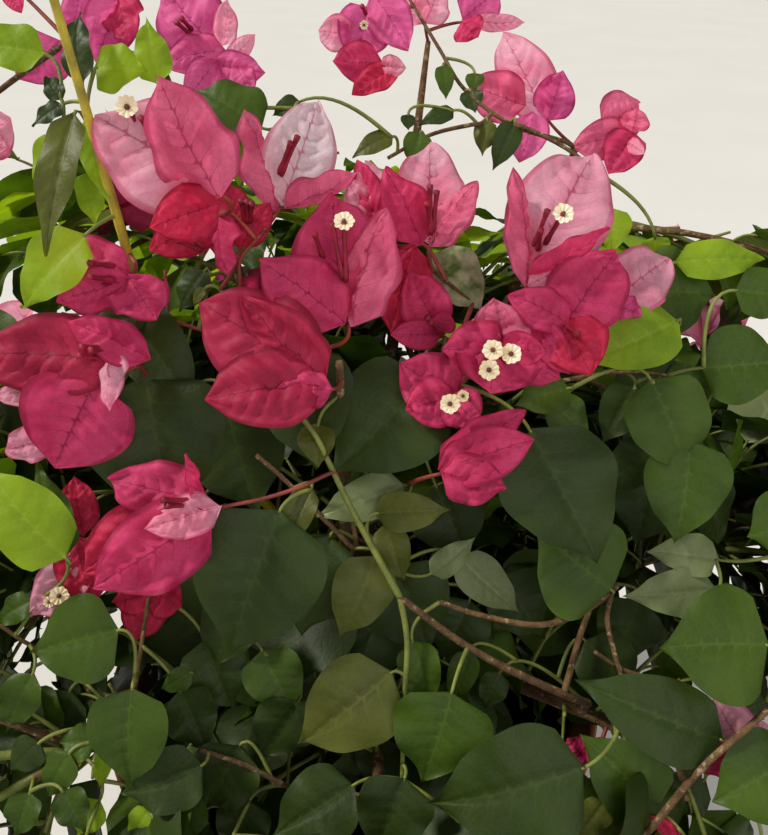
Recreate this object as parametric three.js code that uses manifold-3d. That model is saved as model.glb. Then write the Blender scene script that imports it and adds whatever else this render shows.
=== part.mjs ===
// A bougainvillea bush in a terracotta pot: pot, soil, trunk, boughs and the masses of leaves and bracts.
// Millimetres, +Z up. The origin is the centre of the pot's flat underside, and -Y is the side that shows best.
import * as THREE from "three";
import { mergeVertices } from "three/addons/utils/BufferGeometryUtils.js";
import Module from "manifold-3d";

const wasm = await Module();
wasm.setup();

// Pot and soil
const POT_HEIGHT = 230;
const RIM_RADIUS = 130;
const RIM_HEIGHT = 34;
const RIM_STEP = 6;
const FOOT_RADIUS = 92;
const WALL = 9;
const FLOOR = 14;
const POT_SIDES = 32;
const DRAIN_HOLES = 3;
const DRAIN_RADIUS = 6;
const DRAIN_CIRCLE = 48;
const SOIL_TOP = 205;
const SOIL_EDGE_DROP = 5;
const SOIL_FLAT_RADIUS = 55;

// Clearance between pieces that meet
const SEAT_GAP = 0.3;

// Fused leaves and twigs keep no edge detail finer than this
const SLIVER = 0.3;

// Corners of fused leaves that touch are set apart by a hair, so that no edge has four faces, and lie on a grid
const HAIR = 0.01;
const GRID = 0.001;

// Trunk: leans a little, flares into the soil and is gnarled
const TRUNK_FOOT = [14, 4];
const TRUNK_LEAN = [-16, -10];
const TRUNK_HEIGHT = 98;
const TRUNK_RADIUS = 12;
const TRUNK_TOP_RADIUS = 8.5;
const ROOT_FLARE = 11;
const ROOT_LOBES = 5;
const TRUNK_SIDES = 15;
const TRUNK_STEPS = 10;

// Boughs to the ring of masses leave the trunk at these shares of its height
const RING_LEVELS = [0.36, 0.54, 0.36, 0.46, 0.34, 0.54, 0.68];
const BOUGH_RADIUS = 4.6;
const BOUGH_TIP_RADIUS = 2.6;
const BOUGH_SIDES = 7;
const BOUGH_STEPS = 8;

// The crown is a low dome. SKIRT says how far the lowest tips hang below its widest line, as a share of its height.
const CROWN_CENTRE = [15, -20, 300];
const CROWN_RADII = [262, 235, 165];
const SKIRT = -0.42;
const OUTER_TIPS = 104;
const INNER_TIPS = 16;
const INNER_SHELL = 0.6;
const ROUGHNESS = 0.16;
const OWN_DOME_RADIUS = 78;
const GOLDEN_ANGLE = Math.PI * (3 - Math.sqrt(5));

// Masses round the crown, by bearing from its centre, then those on top and the long sprays above it
const RING_NAMES = ["front", "front_right", "right", "back_right", "back_left", "left", "front_left"];
const RING_START = -90;
const RING_RADII = [152, 135];
const RING_HEIGHT = 298;
const UPPER_MASSES = [
  { name: "top_front", centre: [0, -42, 425], level: 1, entry: 0.45, stem: 0.25 },
  { name: "top_back", centre: [38, 62, 385], level: 0.9, entry: 0.45, stem: 0.3, ownTips: 8 },
  { name: "spray_left", centre: [-85, 112, 500], level: 0.64, entry: 0.72, stem: 0.12 },
  { name: "spray_back", centre: [38, 160, 508], level: 0.74, entry: 0.72, stem: 0.12 },
  { name: "spray_right", centre: [108, 108, 468], level: 0.6, entry: 0.72, stem: 0.12 },
  { name: "tall_shoot", centre: [-82, -24, 540], level: 0.73, boughTip: [-79, -8, 452], stem: 0.78, stemLeaves: 7 },
];

// Twigs, leaves and bracts
const TWIG_RADIUS = 2;
const TWIG_TIP_RADIUS = 1.2;
const TIP_SHARES = [1, 0.85, 0.7];
const SHORTEST_TWIG = 18;
const TWIG_SIDES = 3;
const TWIG_STEPS = 2;
const TWIG_TESTS = 12;
const STEM_RADIUS = 2.8;
const STEM_TIP_RADIUS = 1.4;
const LEAF_LENGTH = 74;
const LEAF_SHARES = [1, 0.8, 0.6];
const LEAF_WIDTH = 0.74;
const LEAF_FOLD = 0.22;
const LEAF_THICKNESS = 1.0;
const LEAF_SPACING = 31;
const ROOT_DEPTH = 1.2;
const BRACT_LENGTH = 46;
const BRACT_WIDTH = 0.78;
const BRACT_FOLD = 0.3;
const BRACT_OPENING = 42;
const BLOOM_CHANCE = 0.34;
const BLOOM_LOWEST = 0.12;
const CELL_MARGIN = 0.5;
const LIMB_MARGIN = 1.2;
const PLACED_REACH = 34;

const TERRACOTTA_COLOUR = 0xb4654a;
const SOIL_COLOUR = 0x3a2a20;
const BARK_COLOUR = 0x86694a;
const LEAF_COLOUR = 0x4f6b34;

// Where the bush is seen from: the eye, how far it looks down, and its picture's scale and middle
const EYE = new THREE.Vector3(16, -294, 579);
const LOOK_DOWN = THREE.MathUtils.degToRad(33);
const PICTURE_SCALE = 800;
const PICTURE_MIDDLE = [384, 417.5];

// What grows by rule stays this far from the eye (mm), and may come nearer, down to the least, outside the picture
const NEAR_LIMIT = 265;
const NEAR_LEAST = 200;
const NEAR_SLOPE = 0.35;

// The blooms that show from there. Each row: across, down and depth (mm) of the bloom's base, the way it points
// in the picture (degrees from right, anticlockwise), its tilt towards the eye, how far it opens, and the length
// of its bracts (mm).
const PLACED_BLOOMS = [
  [225, 195, 285, 140, 15, 30, 52],
  [215, 225, 292, 185, 30, 45, 40],
  [150, 275, 290, 180, 20, 50, 43],
  [72, 372, 282, 60, 55, 55, 44],
  [278, 388, 278, 130, 35, 45, 48],
  [345, 322, 288, 97, 25, 36, 50],
  [290, 210, 305, 85, 25, 35, 44],
  [432, 248, 308, 88, 25, 35, 44],
  [395, 262, 322, 105, 20, 38, 42],
  [537, 283, 290, 75, 30, 40, 50],
  [575, 318, 284, 100, 60, 58, 46],
  [612, 300, 300, 30, 20, 30, 42],
  [446, 472, 285, 32, 0, 22, 42],
  [215, 508, 280, 190, 25, 42, 50],
  [98, 556, 312, 200, 40, 45, 40],
  [150, 592, 330, 280, 20, 40, 36],
  [118, 45, 370, 100, 10, 35, 44],
  [215, 62, 360, 120, 20, 38, 44],
  [385, 50, 400, 150, 20, 38, 46],
  [470, 20, 420, 10, 20, 35, 40],
  [545, 125, 400, 115, 15, 38, 46],
  [582, 165, 390, 40, 40, 45, 42],
  [722, 745, 300, 50, 20, 35, 42],
];

const UP = new THREE.Vector3(0, 0, 1);
const crownCentre = new THREE.Vector3(...CROWN_CENTRE);
const crownRadii = new THREE.Vector3(...CROWN_RADII);

// A number from 0 to 1 that depends only on its two keys
function chance(key, salt) {
  const wave = Math.sin(key * 12.9898 + salt * 78.233) * 43758.5453;
  return wave - Math.floor(wave);
}

// The picture's axes in space: right, down and away from the eye
const RIGHT = new THREE.Vector3(1, 0, 0);
const DOWN = new THREE.Vector3(0, -Math.sin(LOOK_DOWN), -Math.cos(LOOK_DOWN));
const AWAY = new THREE.Vector3(0, Math.cos(LOOK_DOWN), -Math.sin(LOOK_DOWN));

function seenAt(across, down, depth) {
  return EYE.clone()
    .addScaledVector(RIGHT, ((across - PICTURE_MIDDLE[0]) / PICTURE_SCALE) * depth)
    .addScaledVector(DOWN, ((down - PICTURE_MIDDLE[1]) / PICTURE_SCALE) * depth)
    .addScaledVector(AWAY, depth);
}

function standsTooNear(point) {
  const way = point.clone().sub(EYE);
  const depth = way.dot(AWAY);
  if (depth < NEAR_LEAST) return true;
  const across = Math.abs(PICTURE_SCALE * way.dot(RIGHT)) / depth - PICTURE_MIDDLE[0];
  const down = Math.abs(PICTURE_SCALE * way.dot(DOWN)) / depth - PICTURE_MIDDLE[1];
  return depth < Math.max(NEAR_LEAST, NEAR_LIMIT - NEAR_SLOPE * Math.max(0, across, down));
}

function seenDirection(angle, tilt) {
  const turn = THREE.MathUtils.degToRad(angle);
  const lift = THREE.MathUtils.degToRad(tilt);
  return new THREE.Vector3()
    .addScaledVector(RIGHT, Math.cos(turn) * Math.cos(lift))
    .addScaledVector(DOWN, -Math.sin(turn) * Math.cos(lift))
    .addScaledVector(AWAY, -Math.sin(lift));
}

// A closed three.js geometry as a solid, and a solid as a geometry
function solidOf(geometry) {
  const bare = geometry.index ? geometry.toNonIndexed() : geometry.clone();
  bare.deleteAttribute("normal");
  bare.deleteAttribute("uv");
  const merged = mergeVertices(bare, 1e-4);
  return new wasm.Manifold(
    new wasm.Mesh({
      numProp: 3,
      vertProperties: merged.attributes.position.array,
      triVerts: new Uint32Array(merged.index.array),
    }),
  );
}

function geometryOf(solid) {
  const mesh = solid.getMesh();
  const onGrid = (value, i) => Math.round((value + HAIR * chance(i, 0)) / GRID) * GRID;
  const rounded = mesh.vertProperties.map(onGrid);
  const geometry = new THREE.BufferGeometry();
  geometry.setAttribute("position", new THREE.BufferAttribute(rounded, 3));
  geometry.setIndex(new THREE.BufferAttribute(new Uint32Array(mesh.triVerts), 1));
  const flat = geometry.toNonIndexed();
  flat.computeVertexNormals();
  return flat;
}

// The largest body of a solid, without its loose scraps and sealed hollows
function largestOf(solid) {
  return solid.decompose().sort((a, b) => b.volume() - a.volume())[0];
}

// A fused mass with its slivers smoothed away, as one body
function settled(solid, sliver) {
  let body = largestOf(solid.asOriginal().simplify(sliver));
  for (let round = 0; round < 2; round++) body = largestOf(solidOf(geometryOf(body)));
  return body;
}

// A tapering limb: a cylinder bent along a curve. radiusAt(t, angle) gives its radius.
function limb(curve, radiusAt, sides, steps) {
  const geometry = new THREE.CylinderGeometry(1, 1, 1, sides, steps);
  const frames = curve.computeFrenetFrames(steps, false);
  const position = geometry.attributes.position;
  const point = new THREE.Vector3();
  for (let i = 0; i < position.count; i++) {
    point.fromBufferAttribute(position, i);
    const t = point.y + 0.5;
    const step = Math.round(t * steps);
    const radius = Math.hypot(point.x, point.z) * radiusAt(t, Math.atan2(point.z, point.x));
    const angle = Math.atan2(point.z, point.x);
    const place = curve
      .getPointAt(t)
      .addScaledVector(frames.binormals[step], radius * Math.cos(angle))
      .addScaledVector(frames.normals[step], radius * Math.sin(angle));
    position.setXYZ(i, place.x, place.y, place.z);
  }
  const made = solidOf(geometry);
  if (made.volume() > 0) return made;
  const index = geometry.index.array;
  for (let i = 0; i < index.length; i += 3) [index[i], index[i + 1]] = [index[i + 1], index[i]];
  return solidOf(geometry);
}

function taper(from, to) {
  return (t) => from + (to - from) * t;
}

// A leaf or bract of eight faces, from its root along direction, with its upper face towards normal
function bladePoints(root, direction, normal, length, width, fold) {
  const along = direction.clone().normalize();
  const across = new THREE.Vector3().crossVectors(normal, along).normalize();
  const up = new THREE.Vector3().crossVectors(along, across);
  const place = (x, y, z) =>
    root.clone().addScaledVector(along, x).addScaledVector(across, y).addScaledVector(up, z);
  const widest = 0.4 * length;
  const half = 0.5 * width * length;
  return [
    place(-ROOT_DEPTH, 0, 0),
    place(widest, half, fold * half),
    place(length, 0, -0.12 * length),
    place(widest, -half, fold * half),
    place(widest, 0, LEAF_THICKNESS),
    place(widest, 0, -LEAF_THICKNESS),
  ];
}

// An octahedron's points in three.js run +X -X +Y -Y +Z -Z
function bladeSolid(points) {
  const [root, left, tip, right, over, under] = points;
  const corners = [tip, root, left, right, over, under];
  const geometry = new THREE.OctahedronGeometry(1, 0);
  const position = geometry.attributes.position;
  for (let i = 0; i < position.count; i++) {
    const at = [position.getX(i), position.getY(i), position.getZ(i)];
    const axis = at.findIndex((value) => Math.abs(value) > 0.5);
    const corner = corners[2 * axis + (at[axis] > 0 ? 0 : 1)];
    position.setXYZ(i, corner.x, corner.y, corner.z);
  }
  return solidOf(geometry);
}

// The pot: a tapered wall with a rim band, and drain holes through its floor
function makePot() {
  const rimFoot = POT_HEIGHT - RIM_HEIGHT;
  const profile = [
    [0, 0],
    [FOOT_RADIUS - 2, 0],
    [FOOT_RADIUS, 2],
    [RIM_RADIUS - RIM_STEP - 4, rimFoot],
    [RIM_RADIUS - 2, rimFoot + 1],
    [RIM_RADIUS, POT_HEIGHT - 3],
    [RIM_RADIUS - 3, POT_HEIGHT],
    [RIM_RADIUS - WALL - 3, POT_HEIGHT],
    [innerRadius(POT_HEIGHT) - 2, POT_HEIGHT - 4],
    [innerRadius(FLOOR), FLOOR],
    [0, FLOOR],
  ];
  const points = profile.map(([r, z]) => new THREE.Vector2(r, z));
  const wall = new THREE.LatheGeometry(points, POT_SIDES).rotateX(Math.PI / 2);
  let pot = solidOf(wall);
  for (let i = 0; i < DRAIN_HOLES; i++) {
    const angle = (i / DRAIN_HOLES) * 2 * Math.PI;
    const hole = new THREE.CylinderGeometry(DRAIN_RADIUS, DRAIN_RADIUS, 3 * FLOOR, 12)
      .rotateX(Math.PI / 2)
      .translate(DRAIN_CIRCLE * Math.cos(angle), DRAIN_CIRCLE * Math.sin(angle), 0);
    pot = pot.subtract(solidOf(hole));
  }
  return pot;
}

// Inner radius of the pot's wall at a height
function innerRadius(z) {
  return THREE.MathUtils.mapLinear(z, 0, POT_HEIGHT, FOOT_RADIUS - WALL, RIM_RADIUS - WALL - 1);
}

function makeSoil() {
  const bottom = FLOOR + SEAT_GAP;
  const edge = SOIL_TOP - SOIL_EDGE_DROP;
  const profile = [
    [0, bottom],
    [innerRadius(bottom) - 2 * SEAT_GAP, bottom],
    [innerRadius(edge) - 2 * SEAT_GAP - 1, edge],
    [SOIL_FLAT_RADIUS, SOIL_TOP],
    [0, SOIL_TOP],
  ];
  const points = profile.map(([r, z]) => new THREE.Vector2(r, z));
  return solidOf(new THREE.LatheGeometry(points, POT_SIDES).rotateX(Math.PI / 2));
}

// The trunk's line, from its flat cut on the soil to its fork
const trunkFoot = new THREE.Vector3(...TRUNK_FOOT, SOIL_TOP + SEAT_GAP);
const trunkTop = new THREE.Vector3(
  TRUNK_FOOT[0] + TRUNK_LEAN[0],
  TRUNK_FOOT[1] + TRUNK_LEAN[1],
  SOIL_TOP + SEAT_GAP + TRUNK_HEIGHT,
);
const trunkLine = new THREE.CubicBezierCurve3(
  trunkFoot,
  trunkFoot.clone().addScaledVector(UP, 0.4 * TRUNK_HEIGHT),
  trunkTop.clone().add(new THREE.Vector3(7, 5, -0.4 * TRUNK_HEIGHT)),
  trunkTop,
);

function trunkRadius(extra) {
  return (t, angle) => {
    const flare = Math.exp(-9 * t);
    const lobes = 1 + 0.22 * Math.sin(ROOT_LOBES * angle) * flare;
    const rounded = t > 0.9 ? Math.sqrt(1 - ((t - 0.9) / 0.105) ** 2) : 1;
    const plain = THREE.MathUtils.lerp(TRUNK_RADIUS, TRUNK_TOP_RADIUS, t) * rounded + ROOT_FLARE * flare;
    return plain * lobes + extra;
  };
}

// The masses, each with its centre, the share of the way from the trunk at which its bough ends, and how much
// further than its centre its stem runs
const ringStep = 360 / RING_NAMES.length;
const ringMasses = RING_NAMES.map((name, i) => {
  const bearing = THREE.MathUtils.degToRad(RING_START + i * ringStep);
  return {
    name,
    centre: [
      CROWN_CENTRE[0] + RING_RADII[0] * Math.cos(bearing),
      CROWN_CENTRE[1] + RING_RADII[1] * Math.sin(bearing),
      RING_HEIGHT,
    ],
    level: RING_LEVELS[i],
    entry: 0.5,
    stem: 0.22,
  };
});
const masses = [...ringMasses, ...UPPER_MASSES].map((mass) => ({
  ...mass,
  centre: new THREE.Vector3(...mass.centre),
}));

// A bough leaves the trunk sideways, turns up and heads for its mass. The leader starts just clear of the trunk.
function boughLine(mass) {
  const from = trunkLine.getPointAt(mass.level);
  if (mass.level === 1) from.addScaledVector(trunkLine.getTangentAt(1), 2 * SEAT_GAP);
  const to = mass.boughTip ? new THREE.Vector3(...mass.boughTip) : from.clone().lerp(mass.centre, mass.entry);
  const reach = to.clone().sub(from);
  const sideways = new THREE.Vector3(reach.x, reach.y, 0);
  const length = reach.length();
  const first = from.clone().addScaledVector(sideways, 0.45).addScaledVector(UP, 0.3 * length);
  const heading = mass.centre.clone().sub(to).normalize().addScaledVector(UP, 0.15).normalize();
  return new THREE.CubicBezierCurve3(from, first, to.clone().addScaledVector(heading, -0.34 * length), to);
}

// Each mass has one stem, from just clear of its bough's tip through its centre
masses.forEach((mass) => {
  mass.bough = boughLine(mass);
  const tip = mass.bough.getPointAt(1);
  const from = tip.clone().addScaledVector(mass.bough.getTangentAt(1), SEAT_GAP);
  const beyond = mass.centre.clone().sub(tip).multiplyScalar(mass.stem);
  mass.stemLine = new THREE.QuadraticBezierCurve3(
    from,
    mass.centre.clone().sub(beyond).addScaledVector(UP, 0.06 * beyond.length()),
    mass.centre.clone().add(beyond),
  );
});

function nearestMass(point) {
  return masses.reduce((best, mass) =>
    mass.centre.distanceToSquared(point) < best.centre.distanceToSquared(point) ? mass : best,
  );
}

// How far a point lies past the edge of a mass's own space, and the way back in, for its worst edge.
// A mass's space holds the points that are nearer to its centre than to any other's.
function pastEdge(point, mass) {
  let worst = { by: -Infinity, inward: null };
  for (const other of masses) {
    if (other === mass) continue;
    const inward = mass.centre.clone().sub(other.centre).normalize();
    const middle = mass.centre.clone().add(other.centre).multiplyScalar(0.5);
    const by = CELL_MARGIN - point.clone().sub(middle).dot(inward);
    if (by > worst.by) worst = { by, inward };
  }
  return worst;
}

// Points along every limb, which leaves and twigs stay clear of
const limbPoints = [];
masses.forEach((mass) => {
  for (let i = 0; i <= 40; i++) {
    const t = i / 40;
    limbPoints.push({ at: mass.bough.getPointAt(t), radius: taper(BOUGH_RADIUS, BOUGH_TIP_RADIUS)(t), mass });
  }
});
for (let i = 0; i <= 20; i++) {
  limbPoints.push({ at: trunkLine.getPointAt(i / 20), radius: trunkRadius(0)(i / 20, 0) });
}

function clearOfLimbs(point, gap) {
  return limbPoints.every((limbAt) => limbAt.at.distanceTo(point) > limbAt.radius + gap);
}

// Nothing hangs through the pot or the soil
function clearOfPot(point) {
  const radius = Math.hypot(point.x, point.y);
  if (point.z > POT_HEIGHT + 3) return true;
  return radius < RIM_RADIUS - 2 * WALL ? point.z > SOIL_TOP + 4 : radius > RIM_RADIUS + 3;
}

function fits(points, mass, gap) {
  return points.every(
    (point) => pastEdge(point, mass).by < 0 && clearOfPot(point) && point.z > 4 && clearOfLimbs(point, gap),
  );
}

function bladeFits(points, mass) {
  const corners = [points[1], points[2], points[3], points[4]];
  const between = [0.33, 0.66].flatMap((share) => [
    points[4].clone().lerp(points[1], share),
    points[4].clone().lerp(points[3], share),
    points[4].clone().lerp(points[2], share),
    points[0].clone().lerp(points[4], share),
  ]);
  return fits(corners.concat(between), mass, LIMB_MARGIN + LEAF_THICKNESS);
}

// Tips spread evenly over the crown by the golden angle, roughened, on an outer and an inner shell
function shellTips(count, shell, salt) {
  const tips = [];
  for (let i = 0; i < count; i++) {
    const height = 1 - ((i + 0.5) / count) * (1 - SKIRT);
    const round = Math.sqrt(1 - height * height);
    const angle = i * GOLDEN_ANGLE + salt;
    const scale = shell * (1 + ROUGHNESS * (chance(i, salt) - 0.6));
    const at = new THREE.Vector3(round * Math.cos(angle), round * Math.sin(angle), height)
      .multiply(crownRadii)
      .multiplyScalar(scale)
      .add(crownCentre);
    tips.push({ key: i + 1000 * salt, at, height, outer: shell === 1 });
  }
  return tips;
}

// More tips in a small dome round a mass of its own
function ownTips(mass) {
  const count = mass.ownTips || 0;
  return Array.from({ length: count }, (_, i) => {
    const height = 1 - (1.3 * (i + 0.5)) / count;
    const round = Math.sqrt(1 - height * height);
    const at = new THREE.Vector3(
      round * Math.cos(i * GOLDEN_ANGLE),
      round * Math.sin(i * GOLDEN_ANGLE),
      0.7 * height,
    )
      .multiplyScalar(OWN_DOME_RADIUS)
      .add(mass.centre);
    return { key: 3000 + i, at, height, outer: true };
  });
}

const placedBlooms = PLACED_BLOOMS.map(([across, down, depth, angle, tilt, opening, length], i) => ({
  key: 5000 + i,
  at: seenAt(across, down, depth),
  axis: seenDirection(angle, tilt),
  opening,
  length,
}));

// Tips of both shells, without those that crowd a placed bloom
const shellAll = [...shellTips(OUTER_TIPS, 1, 1), ...shellTips(INNER_TIPS, INNER_SHELL, 2)].filter((tip) =>
  placedBlooms.every((bloom) => bloom.at.distanceTo(tip.at) > PLACED_REACH),
);

// A twig from the mass's stem to a tip. It arches, and comes in along the axis where one is given.
function twigLine(mass, tip, axis) {
  let share = 0;
  let nearest = Infinity;
  for (let i = 0; i <= 20; i++) {
    const away = mass.stemLine.getPointAt(i / 20).distanceTo(tip);
    if (away < nearest) {
      nearest = away;
      share = i / 20;
    }
  }
  const from = mass.stemLine.getPointAt(Math.min(0.92, Math.max(0.16, share - 0.22)));
  const length = from.distanceTo(tip);
  const bend = axis
    ? tip.clone().addScaledVector(axis, -0.35 * length)
    : from.clone().lerp(tip, 0.5).addScaledVector(UP, 0.16 * length);
  return new THREE.QuadraticBezierCurve3(from, bend, tip);
}

function twigFits(line, mass) {
  const points = line.getSpacedPoints(TWIG_TESTS).slice(2);
  const inside = (point) => pastEdge(point, mass).by < -TWIG_RADIUS;
  const open = !points.some(standsTooNear);
  return open && points.every(inside) && fits(points.slice(1), mass, LIMB_MARGIN + TWIG_RADIUS);
}

function twigSolid(line) {
  return limb(line, taper(TWIG_RADIUS, TWIG_TIP_RADIUS), TWIG_SIDES, TWIG_STEPS);
}

// Leaves leave a twig on alternate sides, from its middle to its tip
function leavesAlong(line, mass, key) {
  const length = line.getLength();
  const count = Math.max(1, Math.round((0.75 * length) / LEAF_SPACING));
  const leaves = [];
  for (let k = 0; k < count; k++) {
    const t = 0.3 + (0.7 * (k + 1)) / count;
    const root = line.getPointAt(Math.min(0.97, t));
    const forward = line.getTangentAt(Math.min(0.97, t));
    const side = new THREE.Vector3().crossVectors(forward, UP).normalize();
    const outward = root.clone().sub(crownCentre).divide(crownRadii).normalize();
    const hand = k % 2 ? 1 : -1;
    const spread = k === count - 1 ? 0.15 : 0.8;
    const direction = forward
      .clone()
      .multiplyScalar(0.6)
      .addScaledVector(side, hand * spread)
      .addScaledVector(outward, 0.25 + 0.3 * chance(key, 20 + k))
      .addScaledVector(UP, -0.25)
      .normalize();
    const normal = UP.clone()
      .addScaledVector(outward, 1.1)
      .addScaledVector(side, 0.5 * (chance(key, 30 + k) - 0.5))
      .normalize();
    const size = LEAF_LENGTH * (0.8 + 0.35 * chance(key, 40 + k));
    const fitting = LEAF_SHARES.map((share) =>
      bladePoints(root, direction, normal, share * size, LEAF_WIDTH, LEAF_FOLD),
    ).find((points) => !points.some(standsTooNear) && bladeFits(points, mass));
    if (fitting) leaves.push(bladeSolid(fitting));
  }
  return leaves;
}

// A long shoot has single leaves up its stem, set round it by the golden angle
function leavesUp(mass) {
  const count = mass.stemLeaves || 0;
  const leaves = [];
  for (let k = 0; k < count; k++) {
    const t = 0.12 + (0.86 * k) / (count - 1);
    const bearing = k * GOLDEN_ANGLE;
    const direction = new THREE.Vector3(Math.cos(bearing), Math.sin(bearing), 0.15);
    const size = LEAF_LENGTH * (0.95 - 0.25 * t);
    const points = bladePoints(mass.stemLine.getPointAt(t), direction, UP, size, LEAF_WIDTH, LEAF_FOLD);
    if (bladeFits(points, mass)) leaves.push(bladeSolid(points));
  }
  return leaves;
}

// A bloom is three bracts that open round its axis
function bloomBracts(base, axis, opening, length, turn) {
  const helper = Math.abs(axis.z) < 0.9 ? UP : RIGHT;
  const side = new THREE.Vector3().crossVectors(axis, helper).normalize();
  const open = THREE.MathUtils.degToRad(opening);
  return [0, 1, 2].map((i) => {
    const radial = side.clone().applyAxisAngle(axis, turn + (i * 2 * Math.PI) / 3);
    const direction = axis.clone().multiplyScalar(Math.cos(open)).addScaledVector(radial, Math.sin(open));
    const inner = axis.clone().multiplyScalar(Math.sin(open)).addScaledVector(radial, -Math.cos(open));
    return bladePoints(base, direction, inner, length, BRACT_WIDTH, BRACT_FOLD);
  });
}

// A bloom that sticks out of its mass's space is moved back in, and its bracts are then built
function bloomSolids(bloom, mass, turn) {
  let base = bloom.at.clone();
  let bracts = [];
  for (let attempt = 0; attempt < 6; attempt++) {
    bracts = bloomBracts(base, bloom.axis, bloom.opening, bloom.length, turn);
    const worst = bracts
      .flat()
      .map((point) => pastEdge(point, mass))
      .reduce((a, b) => (a.by > b.by ? a : b));
    if (worst.by < 0) break;
    base = base.clone().addScaledVector(worst.inward, worst.by + CELL_MARGIN);
  }
  return { base, solids: bracts.filter((points) => bladeFits(points, mass)).map(bladeSolid) };
}

function makeMass(mass) {
  const pieces = [limb(mass.stemLine, taper(STEM_RADIUS, STEM_TIP_RADIUS), 5, 5)];
  for (const bloom of placedBlooms.filter((item) => nearestMass(item.at) === mass)) {
    const { base, solids } = bloomSolids(bloom, mass, 2 * Math.PI * chance(bloom.key, 3));
    const line = twigLine(mass, base, bloom.axis);
    pieces.push(twigSolid(line), ...solids);
  }
  for (const tip of [...shellAll.filter((item) => nearestMass(item.at) === mass), ...ownTips(mass)]) {
    const line = TIP_SHARES.map((share) =>
      twigLine(mass, mass.centre.clone().lerp(tip.at, share), null),
    ).find((twig) => twigFits(twig, mass));
    if (!line || line.getLength() < SHORTEST_TWIG) continue;
    pieces.push(twigSolid(line));
    const blooming = tip.outer && tip.height > BLOOM_LOWEST && chance(tip.key, 7) < BLOOM_CHANCE;
    const leaves = leavesAlong(line, mass, tip.key);
    if (blooming) {
      leaves.pop();
      const axis = line.getTangentAt(1).addScaledVector(UP, 0.3).normalize();
      const bloom = { at: line.getPointAt(1), axis, opening: BRACT_OPENING, length: BRACT_LENGTH };
      pieces.push(...bloomSolids(bloom, mass, 2 * Math.PI * chance(tip.key, 3)).solids);
    }
    pieces.push(...leaves);
  }
  pieces.push(...leavesUp(mass));
  return settled(wasm.Manifold.union(pieces), SLIVER);
}

const bush = new THREE.Group();

function addPart(name, solid, colour, roughness) {
  const material = new THREE.MeshStandardMaterial({ color: colour, roughness, metalness: 0 });
  const mesh = new THREE.Mesh(geometryOf(solid), material);
  mesh.name = name;
  bush.add(mesh);
}

addPart("pot", makePot(), TERRACOTTA_COLOUR, 0.85);
addPart("soil", makeSoil(), SOIL_COLOUR, 1);
addPart("trunk", limb(trunkLine, trunkRadius(0), TRUNK_SIDES, TRUNK_STEPS), BARK_COLOUR, 0.9);

// Each bough is cut clear of the trunk and of the boughs before it, where they crowd together at the fork
let taken = limb(trunkLine, trunkRadius(SEAT_GAP), TRUNK_SIDES, TRUNK_STEPS);
for (const mass of masses) {
  const boughOf = (extra) =>
    limb(mass.bough, taper(BOUGH_RADIUS + extra, BOUGH_TIP_RADIUS + extra), BOUGH_SIDES, BOUGH_STEPS);
  addPart("bough_" + mass.name, settled(boughOf(0).subtract(taken), 0.1 * SEAT_GAP), BARK_COLOUR, 0.85);
  taken = taken.add(boughOf(1.5 * SEAT_GAP));
}
for (const mass of masses) {
  addPart("foliage_" + mass.name, makeMass(mass), LEAF_COLOUR, 0.6);
}

export default bush;
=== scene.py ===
"""The looks of a bougainvillea bush in a terracotta pot, in metres, +Z up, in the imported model's frame."""

import math

import bpy
import numpy as np
from mathutils import Matrix, Vector, noise


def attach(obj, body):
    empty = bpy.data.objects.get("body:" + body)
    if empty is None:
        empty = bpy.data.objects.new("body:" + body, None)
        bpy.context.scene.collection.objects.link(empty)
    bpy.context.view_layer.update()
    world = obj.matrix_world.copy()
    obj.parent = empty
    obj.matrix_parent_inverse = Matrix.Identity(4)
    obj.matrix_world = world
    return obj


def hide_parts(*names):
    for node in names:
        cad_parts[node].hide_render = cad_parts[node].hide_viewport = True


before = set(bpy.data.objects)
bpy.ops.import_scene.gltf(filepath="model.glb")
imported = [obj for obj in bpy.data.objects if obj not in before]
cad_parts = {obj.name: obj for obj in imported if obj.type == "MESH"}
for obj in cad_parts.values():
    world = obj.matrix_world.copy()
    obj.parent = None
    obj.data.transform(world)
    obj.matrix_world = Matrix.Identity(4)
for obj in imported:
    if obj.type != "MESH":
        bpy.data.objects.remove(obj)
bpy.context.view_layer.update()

# The view: the eye, how far it looks down, and the picture's scale and middle in pixels
EYE = Vector((0.016, -0.294, 0.579))
LOOK_DOWN = math.radians(33)
PICTURE_SCALE = 800.0
PICTURE_MIDDLE = (384.0, 417.5)
PICTURE_SIZE = (768, 835)

# Pot and soil
POT_HEIGHT = 0.230
RIM_RADIUS = 0.130
RIM_HEIGHT = 0.034
RIM_STEP = 0.006
FOOT_RADIUS = 0.092
WALL = 0.009
POT_FLOOR = 0.014
POT_SIDES = 160
PROFILE_STEP = 0.0016
DRAIN_HOLES = 3
DRAIN_RADIUS = 0.006
DRAIN_CIRCLE = 0.048
SOIL_TOP = 0.205
SEAT_GAP = 0.0003
SOIL_GAP = 0.0008    # from the soil's side to the pot's wall
SOIL_RINGS, SOIL_SIDES = 60, 128
SOIL_CRUMBS = 900

# Trunk and boughs
TRUNK_FOOT = (0.014, 0.004)
TRUNK_LEAN = (-0.016, -0.010)
TRUNK_HEIGHT = 0.098
TRUNK_RADIUS = 0.012
TRUNK_TOP_RADIUS = 0.0085
ROOT_FLARE = 0.011
ROOT_LOBES = 5
BOUGH_RADIUS = 0.0046
BOUGH_TIP_RADIUS = 0.0026
RING_LEVELS = [0.36, 0.54, 0.36, 0.46, 0.34, 0.54, 0.68]

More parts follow.
